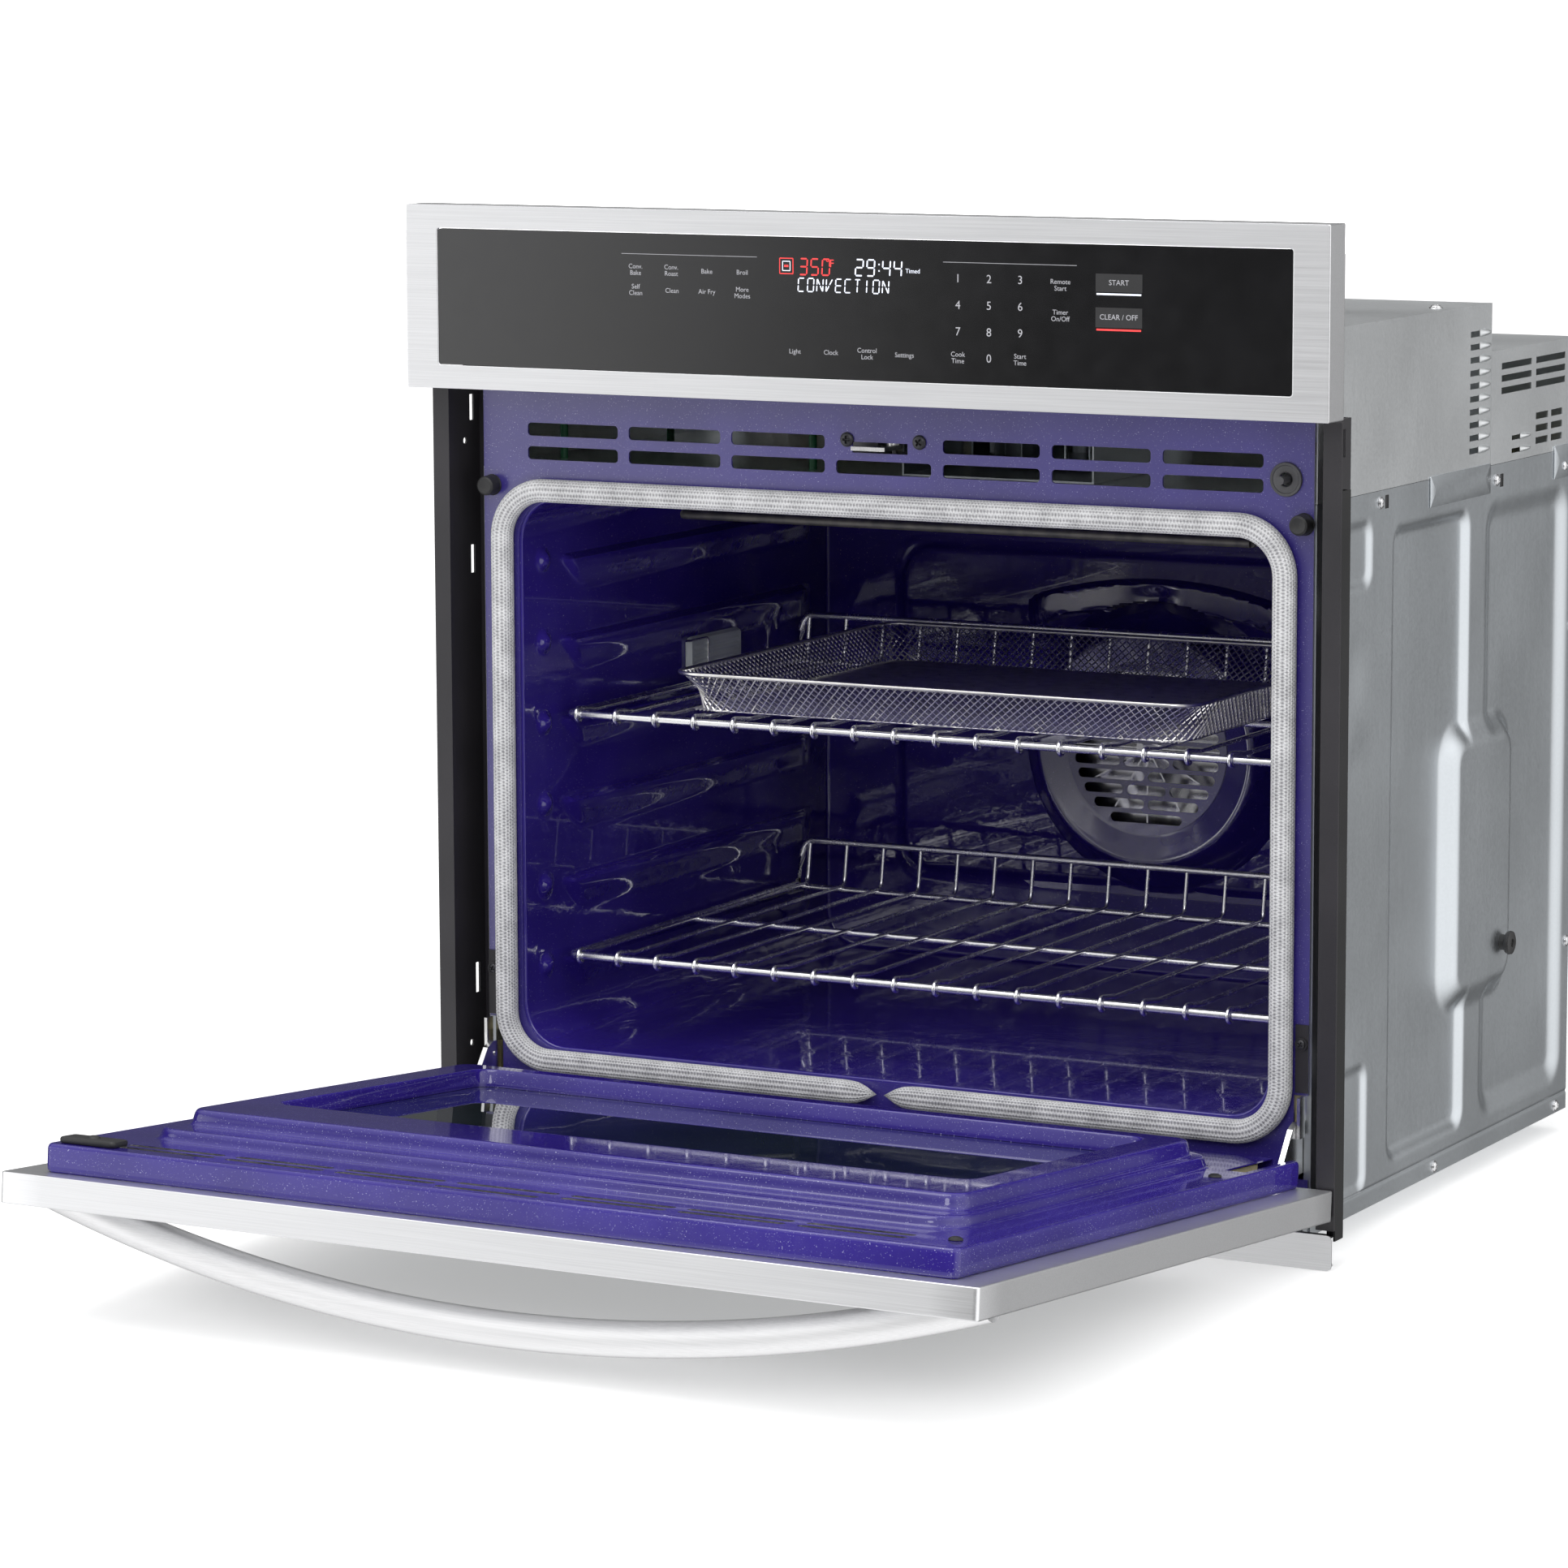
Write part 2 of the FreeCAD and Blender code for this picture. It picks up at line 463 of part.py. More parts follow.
sensor = [rod("sensor_probe", "y", 2.6, 82, (-200, 440, 470)),
          box("sensor_plate", (-212, -188), ("cavity_back - 1.6", "cavity_back - 0.2"), (462, 478))]
node("temperature_sensor", fuse("sensor_fuse", sensor))

lens = rounded("lens_round", box("lens_block", ("-cavity_half + 0.2", "-cavity_half + 5"), (270, 342), (342, 377)), "x", 6)
node("lamp_lens", lens)
lamp = [rod("lamp_cup", "x", 20, 22, ("-cavity_half - 26", 306, 357)),
        rod("lamp_bulb", "x", 8, 5, ("-cavity_half - 5", 306, 357))]
node("lamp_holder", fuse("lamp_fuse", lamp))

# ---------------------------------------------------------------- latch and door switch

latch_box = [box("latch_case", (-70, 60), (14, 34), (549, 554)), box("latch_motor_can", (-60, -20), (36, 66), (549, 580)),
             box("latch_bridge", (-70, 60), (30, 38), (549, 554)), rod("latch_pin", "z", 2, 14, (0, 24, 550))]
node("latch_motor", fuse("latch_fuse", latch_box))
hook = [box("latch_arm", (-6, 6), (-4, 26), (557.4, 560.4)), box("latch_nose", (-22, 6), (-4, 2), (557.4, 560.4)),
        rod("latch_boss", "z", 6, 4.6, (0, 24, 557.4))]
node("latch_hook", cut("hook_cut", fuse("hook_fuse", hook), [rod("hook_bore", "z", 2.06, 12, (0, 24, 553))]))

bezel = cut("bezel_cut", rod("bezel_disc", "y", 12.5, 2.2, (323, "frame_face - 2.3", 549.6)),
            [rod("bezel_bore", "y", 3.1, 8, (323, "frame_face - 4", 549.6))])
node("switch_bezel", bezel)
plunger = [rod("plunger_stem", "y", 3.04, "frame_face + 22 - gasket_face", (323, "gasket_face", 549.6)),
           rod("plunger_collar", "y", 4.4, 2, (323, "frame_face + 4", 549.6))]
node("switch_plunger", fuse("plunger_fuse", plunger))

# ---------------------------------------------------------------- hinges

ARM_OUTLINE = ((-45.5, 28), (-39, 23.5), (-31, 27), (-9, 47), (38, 47), (38, 82), (-3, 86), (-12, 82), (-46, 37))

LOCK_PIVOT = (-1, 76)


def hinge_arm(tag, side):
    """The fixed arm of one hinge: a plate in a plane across X, cut from one outline."""
    body = doc.addObject("PartDesign::Body", "hinge_arm_body_" + tag)
    plane = [item for item in body.Origin.OriginFeatures if item.Role == "YZ_Plane"][0]
    outline = body.newObject("Sketcher::SketchObject", "hinge_arm_outline_" + tag)
    outline.AttachmentSupport = [(plane, "")]
    outline.MapMode = "FlatFace"
    bind(outline, "AttachmentOffset.Base.z", "%d * arm_at - arm_thick / 2" % side)
    points = [V(y, z, 0) for y, z in ARM_OUTLINE]
    for start, stop in zip(points, points[1:] + points[:1]):
        outline.addGeometry(Part.LineSegment(start, stop))
    outline.addGeometry(Part.Circle(V(size("hinge_back"), size("hinge_high"), 0), V(0, 0, 1), size("pin_radius") + 0.06))
    outline.addGeometry(Part.Circle(V(*LOCK_PIVOT, 0), V(0, 0, 1), 2.06))
    pad = body.newObject("PartDesign::Pad", "hinge_arm_pad_" + tag)
    pad.Profile = outline
    bind(pad, "Length", "arm_thick")
    return node("hinge_arm_" + tag, body)


for tag, side in SIDES:
    hinge_arm(tag, side)
    lever = [box("lock_plate_" + tag, span(side, "arm_at + arm_thick / 2 + 0.3", "arm_at + arm_thick / 2 + 2.8"),
                 (-5.5, 3.5), (74, 104)),
             rod("lock_pivot_" + tag, "x", 2, 7.6,
                 ("arm_at - arm_thick / 2 - 2.8" if side > 0 else "-arm_at - arm_thick / 2 - 2.8",) + LOCK_PIVOT)]
    node("hinge_lock_" + tag, fuse("lock_fuse_" + tag, lever))
    cover = [box("hinge_cover_plate_" + tag, span(side, "arm_at - 3.6", "body_half - skin - 0.3"),
                 ("frame_face - 1.4", "frame_face - 0.1"), (106, 156)),
             rod("hinge_cover_screw_" + tag, "y", 4.8, 2, (side * 339.4, "frame_face - 3.2", 142))]
    node("hinge_cover_" + tag, fuse("hinge_cover_fuse_" + tag, cover))

for tag, side in SIDES:
    cheeks = [box("hinge_cheek_in_" + tag, span(side, "arm_at - 4.2", "arm_at - 2.6"), (-8.5, 11), (-9, 60)),
              box("hinge_cheek_out_" + tag, span(side, "arm_at + 2.6", "arm_at + 4.2"), (-8.5, 11), (-9, 60)),
              box("hinge_channel_" + tag, span(side, "arm_at - 4.2", "arm_at + 4.2"), (-8.5, 11), (60, 190)),
              rod("hinge_pin_" + tag, "x", "pin_radius", 10.6,
                  ("arm_at - 5.3" if side > 0 else "-arm_at - 5.3", 0, 0))]
    door_node("hinge_body_" + tag, fuse("hinge_body_fuse_" + tag, cheeks))

# ---------------------------------------------------------------- door

SKIN = ("-door_half", "door_half"), ("door_face", "door_rim"), ("door_low", "door_high")
skin_outer = rounded("door_skin_outer", box("door_skin_block", *SKIN), "x", 6,
                     lambda middle: middle.y > 0 and middle.z < 0)
skin_inner = box("door_skin_inner", ("-door_half + 1", "door_half - 1"), ("door_face + 1", "door_rim + 1"),
                 ("door_low + 1", "door_high - 1"))
skin_box = cut("door_skin_shell", skin_outer, [skin_inner])
skin_window = rounded("door_skin_window", box("door_skin_window_block", (-292, 292), ("door_face - 1", "door_face + 3"),
                      (70, 400)), "y", 16)
skin_cuts = [skin_window]
for tag, side in SIDES:
    skin_cuts.append(box("door_skin_notch_" + tag, span(side, "arm_at - 5", "arm_at + 5"), (0, "door_rim + 1"),
                         ("door_low - 1", "door_low + 12")))
door_node("door_skin", cut("door_skin_cut", skin_box, skin_cuts))
door_node("door_outer_glass", box("outer_glass_block", (-310, 310), ("door_face + 1.2", "door_face + 5.2"), (50, 420)))

LINER_STEPS = (
    ("flat", "liner_half", "liner_low", "liner_high", "door_rim + 0.3", "liner_flat", 5),
    ("one", "liner_half - 37.5", "54", "472", "liner_flat - 1", "step_one", 26),
    ("two", "liner_half - 49", "66", "441", "step_one - 1", "step_two", 14),
)


def liner_solid(tag, wall):
    """The stepped form of the door's inner panel, drawn in by a wall thickness."""
    blocks = []
    for name, half, low, high, back, face, radius in LINER_STEPS:
        block = box("%s_%s" % (tag, name), ("-(%s) + %s" % (half, wall), "%s - %s" % (half, wall)),
                    ("%s - %s" % (back, wall * 2), "%s - %s" % (face, wall)),
                    ("%s + %s" % (low, wall), "%s - %s" % (high, wall)))
        blocks.append(rounded("%s_%s_round" % (tag, name), block, "y", radius - wall))
    return fuse(tag + "_fuse", blocks)


liner_cuts = [liner_solid("door_liner_inner", 1.2),
              rounded("door_liner_window", box("door_liner_window_block", (-273, 273), (28, 60), (88, 366)), "y", 20)]
for row, low in enumerate((505, 518)):
    for column in range(-3, 4):
        middle = "%d * vent_step" % column
        liner_cuts.append(box("liner_vent_%d_%d" % (row, column + 3),
                              (middle + " - vent_wide / 2", middle + " + vent_wide / 2"),
                              ("liner_flat - 3", "liner_flat + 1"), (low, low + 5)))
for tag, side in SIDES:
    liner_cuts.append(box("liner_arm_slot_" + tag, span(side, "arm_at - 8", "arm_at + 8"), (5, "liner_flat + 1"),
                          ("liner_low - 5", 74)))
liner_cuts.append(box("liner_latch_slot", (-44, 36), ("liner_flat - 3", "liner_flat + 1"), (525, 533)))
recess_outer = rounded("door_recess_outer", box("door_recess_block", (-274.2, 274.2), (38.3, 50.4), (86.8, 367.2)), "y", 21.2)
recess_inner = rounded("door_recess_inner", box("door_recess_hole", (-273, 273), (30, 60), (88, 366)), "y", 20)
door_node("door_liner", fuse("door_liner_full", [
    cut("door_liner_cut", liner_solid("door_liner_outer", 0.0), liner_cuts),
    cut("door_recess", recess_outer, [recess_inner])]))
door_node("door_inner_glass", box("inner_glass_block", (-290, 290), (34, 38), (74, 380)))

wool = box("door_wool_block", (-326, 326), (-3, 29), (6, 496))
door_node("door_insulation", cut("door_wool_cut", wool, [box("door_wool_window", (-311, 311), (-4, 30), (49, 421))]))

bow = size("handle_bow")
span_half = size("handle_span")
ARC_RADIUS = (span_half ** 2 + bow ** 2) / (2 * bow)
torus = doc.addObject("Part::Torus", "handle_torus")
bind(torus, "Radius1", "(handle_span * handle_span + handle_bow * handle_bow) / (2 * handle_bow)")
bind(torus, "Radius2", "handle_radius")
half_angle = math.degrees(math.asin((span_half + 12) / ARC_RADIUS))
torus.Angle3 = 2 * half_angle
torus.Placement = FreeCAD.Placement(V(0, size("door_face") + 1 - bow + ARC_RADIUS, 0),
                                    FreeCAD.Rotation(V(0, 0, 1), -90 - half_angle))
bind(torus, "Placement.Base.z", "handle_high")
door_node("handle", cut("handle_cut", torus, [
    box("handle_trim", (-400, 400), ("door_face - 0.05", 60), (480, 560)),
    box("handle_end_left", (-420, "-handle_span - 14"), (-120, 60), (480, 560)),
    box("handle_end_right", ("handle_span + 14", 420), (-120, 60), (480, 560))]))

pad = [rounded("door_pad_round", box("door_pad_block", (-346, -300), ("liner_flat + 0.1", "liner_flat + 5"), (514, 534)), "y", 3),
       rod("door_plug_right", "y", 4.5, 1.6, (334, "liner_flat + 0.1", 508)),
       rod("door_plug_lower", "y", 4.5, 1.6, (339.5, "liner_flat + 0.1", 112))]
door_node("door_pads", group("door_pad_group", pad))

# ---------------------------------------------------------------- racks and tray


def wire(start, stop, radius):
    """A round wire between two points."""
    way = stop - start
    return Part.makeCylinder(radius, way.Length, start, way)


def knob(point, radius):
    return Part.makeSphere(radius, point)


def rack_shape(level):
    """One oven rack: side rails, front and cross rods, wires that rise into the rear guard."""
    half, front, back = size("rack_half"), size("rack_front"), size("rack_back")
    rail, thin = size("rail_radius"), size("wire_radius")
    guard = level + size("guard_high")
    pieces = []
    for x in (-half, half):
        pieces.append(wire(V(x, front, level), V(x, back, level), rail))
        pieces.append(knob(V(x, front, level), rail))
        pieces.append(knob(V(x, back, level), rail))
        pieces.append(wire(V(x, back, level), V(x * 0.985, back + 6, guard), rail))
        pieces.append(knob(V(x * 0.985, back + 6, guard), rail))
    pieces.append(wire(V(-half, front, level), V(half, front, level), rail))
    for y in ((front + back) / 2, back - 6):
        pieces.append(wire(V(-half, y, level - 0.4), V(half, y, level - 0.4), rail * 0.9))
    pieces.append(wire(V(-half * 0.985, back + 6, guard), V(half * 0.985, back + 6, guard), rail))
    count = 18
    for number in range(count):
        x = (number - (count - 1) / 2) * size("wire_step")
        pieces.append(wire(V(x, front, level + 1.5), V(x, back, level + 1.5), thin))
        pieces.append(knob(V(x, back, level + 1.5), thin))
        pieces.append(wire(V(x, back, level + 1.5), V(x, back + 6, guard), thin))
    return pieces[0].fuse(pieces[1:])


for tag, step in (("lower", 0), ("upper", 3)):
    level = size("ledge_low") + step * size("ledge_step") + size("rail_radius") + 0.3
    item = doc.addObject("Part::Feature", "rack_" + tag)
    item.Shape = rack_shape(level)
    node("rack_" + tag, item)


def tray_block(inset, low, high):
    """A tray-shaped solid, narrower at the foot than at the rim."""
    loops = []
    for z, draw in ((low, 14 + inset), (high, inset)):
        x = size("tray_half") - draw
        front = size("tray_front") + draw
        back = size("tray_back") - draw
        corners = [V(-x, front, z), V(x, front, z), V(x, back, z), V(-x, back, z)]
        loops.append(Part.makePolygon(corners + corners[:1]))
    return Part.makeLoft(loops, True, True)


tray = doc.addObject("Part::Feature", "tray")
low, high = size("tray_low"), size("tray_high")
bowl = tray_block(0, low + 0.8, high).cut(tray_block(1.4, low + 2.2, high + 0.5))
rim_box = Part.makeBox(size("tray_half") * 2, size("tray_back") - size("tray_front"), 4,
                       V(-size("tray_half"), size("tray_front"), high - 2))
rim_hole = Part.makeBox(size("tray_half") * 2 - 8, size("tray_back") - size("tray_front") - 8, 6,
                        V(-size("tray_half") + 4, size("tray_front") + 4, high - 3))
tray.Shape = bowl.fuse(rim_box.cut(rim_hole)).removeSplitter()
node("mesh_tray", tray)

# ---------------------------------------------------------------- fasteners and stand-offs

frame_screws = []
for number, x in enumerate((-30, 30)):
    frame_screws.append(rod("frame_screw_%d" % number, "y", 5.5, 2.4, (x, "frame_face - 2.5", 564.5)))
node("frame_screws", group("frame_screw_group", frame_screws))

case_screws = []
for tag, side in SIDES:
    base = "body_half + 0.05" if side > 0 else "-body_half - 2.05"
    for number, (y, z) in enumerate(((247, 6), (505, 6), (126, 523), (357, 520), (502, 519), (520, 390), (520, 137))):
        case_screws.append(rod("case_screw_%s_%d" % (tag, number), "x", 3.6, 2, (base, y, z)))
for number, (x, y) in enumerate(((-330, 74), (330, 74), (-330, 268), (330, 268))):
    case_screws.append(rod("cover_screw_%d" % number, "z", 3.6, 2, (x, y, "cover_high + 0.05")))
node("case_screws", group("case_screw_group", case_screws))

spools = []
for tag, side in SIDES:
    flange = rod("spool_flange_" + tag, "x", 9, 2, ("body_half + 13.5" if side > 0 else "-body_half - 15.5", 366, 161))
    neck = rod("spool_neck_" + tag, "x", 6, 9, ("body_half + 6.1" if side > 0 else "-body_half - 15.1", 366, 161))
    foot = rod("spool_foot_" + tag, "x", 9, 2, ("body_half + 6.1" if side > 0 else "-body_half - 8.1", 366, 161))
    spools.append(fuse("spool_fuse_" + tag, [flange, neck, foot]))
node("side_spools", group("spool_group", spools))

# ---------------------------------------------------------------- check and export

doc.recompute()
for item in doc.Objects:
    if "Invalid" in item.State or "Error" in item.State:
        raise RuntimeError("%s (%s) failed to compute" % (item.Label, item.Name))
for label, item in nodes.items():
    if item.Shape.isNull() or not item.Shape.isValid():
        raise RuntimeError(label + " has no valid shape")
for label, item in nodes.items():
    item.Shape.exportStep("parts/%s.step" % label)
    limits = item.Shape.BoundBox
    print("%-22s solids %d  x %.1f..%.1f  y %.1f..%.1f  z %.1f..%.1f" % (
        label, len(item.Shape.Solids), limits.XMin, limits.XMax, limits.YMin, limits.YMax, limits.ZMin, limits.ZMax))
print(len(nodes), "nodes")
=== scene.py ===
# %% [markdown]
# # A built-in wall oven with its door open
# The working parts come from a packed engineering model. This lesson keeps that model as a fixed
# frame and gives it the looks of a real oven: pressed enamel, brushed steel, bent wire, braided rope.
# Every shape is measured in millimetres here and turned into metres when its mesh is made.

# %% Load the frame
import json
import math

import bmesh
import bpy
import numpy as np
from mathutils import Matrix, Vector


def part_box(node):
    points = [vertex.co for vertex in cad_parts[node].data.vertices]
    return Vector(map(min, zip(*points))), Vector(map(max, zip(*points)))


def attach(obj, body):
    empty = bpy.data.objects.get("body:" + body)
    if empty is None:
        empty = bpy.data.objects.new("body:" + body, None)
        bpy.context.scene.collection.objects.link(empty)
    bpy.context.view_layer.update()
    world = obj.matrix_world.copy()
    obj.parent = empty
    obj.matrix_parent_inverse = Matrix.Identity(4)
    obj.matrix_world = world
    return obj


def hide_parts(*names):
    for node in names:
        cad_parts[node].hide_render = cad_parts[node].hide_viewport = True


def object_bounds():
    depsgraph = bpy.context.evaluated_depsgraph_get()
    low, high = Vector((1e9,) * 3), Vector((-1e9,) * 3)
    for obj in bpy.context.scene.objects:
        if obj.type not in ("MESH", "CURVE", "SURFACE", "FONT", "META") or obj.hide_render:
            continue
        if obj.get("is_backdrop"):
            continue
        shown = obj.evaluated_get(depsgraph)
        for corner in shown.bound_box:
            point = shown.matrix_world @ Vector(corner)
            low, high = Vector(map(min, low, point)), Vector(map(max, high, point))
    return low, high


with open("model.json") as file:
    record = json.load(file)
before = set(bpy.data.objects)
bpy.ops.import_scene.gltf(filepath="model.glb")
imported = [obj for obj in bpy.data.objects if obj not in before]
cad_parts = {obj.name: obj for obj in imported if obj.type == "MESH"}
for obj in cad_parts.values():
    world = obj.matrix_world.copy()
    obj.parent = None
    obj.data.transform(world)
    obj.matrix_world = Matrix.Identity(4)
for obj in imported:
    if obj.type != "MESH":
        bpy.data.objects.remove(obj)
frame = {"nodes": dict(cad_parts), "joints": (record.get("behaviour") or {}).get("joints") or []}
cad_low, cad_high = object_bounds()

# %% [markdown]
# ## Surfaces as grids
# A pressed panel, a bent wire and a rope are all the same thing to a computer: a grid of points with
# a four-sided face between each set of neighbours. Working the grid out as whole arrays is fast, and
# the formula of the shape stays readable.

# %% From grids of points to meshes
def skin(points, wrap_rows=False, wrap_columns=False):
    """Faces over a grid: point (i, j) joins (i, j+1), (i+1, j+1) and (i+1, j)."""
    rows, columns = points.shape[:2]
    index = np.arange(rows * columns).reshape(rows, columns)
    if wrap_rows:
        index = np.vstack([index, index[:1]])
    if wrap_columns:
        index = np.hstack([index, index[:, :1]])
    corners = [index[:-1, :-1], index[:-1, 1:], index[1:, 1:], index[1:, :-1]]
    return points.reshape(-1, 3), np.stack(corners, -1).reshape(-1, 4)


def merge(surfaces):
    """Several (points, faces) pairs as one: each one's face numbers move up by the points before it."""
    starts = np.cumsum([0] + [len(points) for points, faces in surfaces[:-1]])
    faces = [faces + start for (points, faces), start in zip(surfaces, starts)]
    return np.vstack([points for points, _ in surfaces]), np.vstack(faces)


def welded(mesh, distance=2e-6, clean=True, outward=True):
    """Join doubled points, drop faces that have no area, and point the faces outward."""
    shape = bmesh.new()
    shape.from_mesh(mesh)
    bmesh.ops.remove_doubles(shape, verts=shape.verts, dist=distance)
    if clean:
        bmesh.ops.dissolve_degenerate(shape, edges=shape.edges, dist=1e-7)
    if outward:
        bmesh.ops.recalc_face_normals(shape, faces=shape.faces)
    shape.to_mesh(mesh)
    shape.free()


def placed(name, mesh, body, material, replaces=()):
    """An object at the origin with one finish, on its body, standing for the nodes that it replaces."""
    mesh.materials.clear()
    mesh.materials.append(material)
    item = bpy.data.objects.new(name, mesh)
    bpy.context.scene.collection.objects.link(item)
    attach(item, body)
    if replaces:
        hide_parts(*replaces)
    print("%-22s %6d faces on %s" % (name, len(mesh.polygons), body))
    return item


def as_mesh(item):
    """An object's text, curve or modifiers worked out, as a plain mesh."""
    bpy.context.view_layer.update()
    return bpy.data.meshes.new_from_object(item.evaluated_get(bpy.context.evaluated_depsgraph_get()))


def flat_mesh(curve):
    """A text or flat curve as a mesh: shown for a moment, worked out, and taken away again."""
    source = bpy.data.objects.new(curve.name, curve)
    bpy.context.scene.collection.objects.link(source)
    mesh = as_mesh(source)
    bpy.data.objects.remove(source)
    return mesh


def piece(name, surfaces, body, material, replaces=(), uv=None, crease=32):
    """A mesh in metres from surfaces in millimetres, with doubled points welded and faces outward."""
    points, faces = merge(surfaces)
    mesh = bpy.data.meshes.new(name)
    mesh.vertices.add(len(points))
    mesh.vertices.foreach_set("co", (points * 0.001).astype(np.float32).ravel())
    mesh.loops.add(faces.size)
    mesh.loops.foreach_set("vertex_index", faces.astype(np.int32).ravel())
    mesh.polygons.add(len(faces))
    mesh.polygons.foreach_set("loop_start", np.arange(0, faces.size, 4, dtype=np.int32))
    mesh.update(calc_edges=True)
    if uv is not None:
        layer = mesh.uv_layers.new(name="along")
        layer.data.foreach_set("uv", uv.reshape(-1, 2)[faces.ravel()].astype(np.float32).ravel())
    welded(mesh)
    mesh.shade_smooth()
    mesh.set_sharp_from_angle(angle=math.radians(crease))
    return placed(name, mesh, body, material, replaces)


# %% Rounded loops, softened profiles and tubes
def loop(half, low, high, radius, wide=1, tall=1, arc=8, centre=0.0):
    """A closed rounded rectangle in X and Z: straight runs joined by quarter circles."""
    quarter = np.linspace(0, math.pi / 2, arc + 1)
    right, left, top, bottom = half - radius, radius - half, high - radius, low + radius
    turns = []
    for turn, (x, z) in enumerate(((right, top), (left, top), (left, bottom), (right, bottom))):
        angle = quarter + turn * math.pi / 2
        turns.append(np.stack([x + radius * np.cos(angle), z + radius * np.sin(angle)], -1))
    rows = []
    for number, count in enumerate((wide, tall, wide, tall)):
        start, stop = turns[number][-1], turns[(number + 1) % 4][0]
        rows += [turns[number], start + (stop - start) * np.linspace(0, 1, count + 1)[1:-1, None]]
    ring = np.vstack(rows)
    ring[:, 0] += centre
    return ring


def soften(corners, amount, steps=4):
    """Corners become short curves, (1-t)^2 A + 2t(1-t) B + t^2 C, with one more row beyond each end
    that keeps the shading of the flats flat."""
    corners = np.asarray(corners, float)
    t = np.linspace(0, 1, steps + 1)[:, None]
    rows = [corners[:1]]
    for before, here, after in zip(corners[:-2], corners[1:-1], corners[2:]):
        back, ahead = before - here, after - here
        share_back = min(amount / max(np.linalg.norm(back), 1e-9), 0.36)
        share_ahead = min(amount / max(np.linalg.norm(ahead), 1e-9), 0.36)
        start, stop = here + back * share_back, here + ahead * share_ahead
        curve = (1 - t) ** 2 * start + 2 * t * (1 - t) * here + t ** 2 * stop
        rows.append(np.vstack([here + back * share_back * 1.35, curve, here + ahead * share_ahead * 1.35]))
    rows.append(corners[-1:])
    return np.vstack(rows)


def rings(stations, **counts):
    """Rounded loops one after another: each station is (half width, low, high, radius, depth)."""
    rows = []
    for half, low, high, radius, depth in stations:
        flat = loop(half, low, high, max(radius, 0.01), **counts)
        rows.append(np.stack([flat[:, 0], np.full(len(flat), depth), flat[:, 1]], -1))
    return np.stack(rows)


def unit(vectors):
    """Each row divided by its length."""
    return vectors / np.linalg.norm(vectors, axis=1, keepdims=True)


def tube(path, radius, side=(1, 0, 0), sides=8, wrap=False):
    """A round wire: at each point a circle in the plane across the path, tipped by the side vector."""
    path = np.asarray(path, float)
    along = unit(np.roll(path, -1, 0) - np.roll(path, 1, 0) if wrap else np.gradient(path, axis=0))
    across = unit(np.cross(along, np.asarray(side, float)))
    third = np.cross(along, across)
    angle = np.linspace(0, 2 * math.pi, sides, endpoint=False)[None, :, None]
    ring = path[:, None] + radius * (across[:, None] * np.cos(angle) + third[:, None] * np.sin(angle))
    if wrap:
        return skin(ring, wrap_rows=True, wrap_columns=True)
    ends = [np.repeat(path[:1, None], sides, 1), ring, np.repeat(path[-1:, None], sides, 1)]
    return skin(np.concatenate(ends), wrap_columns=True)


def spun(profile, centre, axis="y", turns=24):
    """A profile of (radius, distance) pairs turned about an axis through the centre."""
    profile = np.asarray(profile, float)
    angle = np.linspace(0, 2 * math.pi, turns, endpoint=False)[None, :]
    a, b = profile[:, :1] * np.cos(angle), profile[:, :1] * np.sin(angle)
    c = np.repeat(profile[:, 1:], turns, 1)
    order = {"x": (c, a, b), "y": (a, c, b), "z": (a, b, c)}[axis]
    return skin(np.stack(order, -1) + np.asarray(centre, float), wrap_columns=True)


def slab(low, high, edge=0.6, corner=0.6, face="y"):
    """A plate with softened rims: rounded loops that close to a line at the front and the back."""
    low, high = np.asarray(low, float), np.asarray(high, float)
    order = {"x": (1, 0, 2), "y": (0, 1, 2), "z": (0, 2, 1)}[face]
    low, high = low[list(order)], high[list(order)]
    half, middle = (high[0] - low[0]) / 2, (high[0] + low[0]) / 2
    tuck = min(half, (high[2] - low[2]) / 2) - 0.001
    tight, slight = max(corner - edge, 0.01), edge * 0.3
    stations = [(half - inset, low[2] + inset, high[2] - inset, radius, depth) for inset, radius, depth in (
        (tuck, 0.001, low[1]), (edge, tight, low[1]), (slight, corner, low[1] + slight), (0, corner, low[1] + edge),
        (0, corner, high[1] - edge), (slight, corner, high[1] - slight), (edge, tight, high[1]),
        (tuck, 0.001, high[1]))]
    points = rings(stations, arc=3) + np.array([middle, 0, 0])
    return skin(points[:, :, np.argsort(order)] if face != "x" else points[:, :, [1, 0, 2]], wrap_columns=True)


# %% [markdown]
# ## The door's own place
# The door is drawn shut, as its maker would draw it, with the hinge line as the origin. It is then
# swung down about that line, which is where the frame holds it.

# %% Swing the door open
hinge = next(joint for joint in frame["joints"] if joint["name"] == "door_hinge")
HINGE = np.array(hinge["pos_m"]) * 1000
OPEN = math.radians(84.95)


def opened(surface):
    """Turn about X by the open angle: y' = y cos - z sin, z' = y sin + z cos, then move to the hinge."""
    points, faces = surface
    c, s = math.cos(OPEN), math.sin(OPEN)
    turned = points @ np.array([[1, 0, 0], [0, c, s], [0, -s, c]])
    return turned + HINGE, faces


print("hinge line at", HINGE.round(1), "mm, open by %.1f degrees" % math.degrees(OPEN))

# %% [markdown]
# ## Shader sums as plain Python
# A finish is a set of sums on the place of each point. Wrapping a socket in a small class lets those
# sums be written as expressions: each operator adds the Math node that does it.

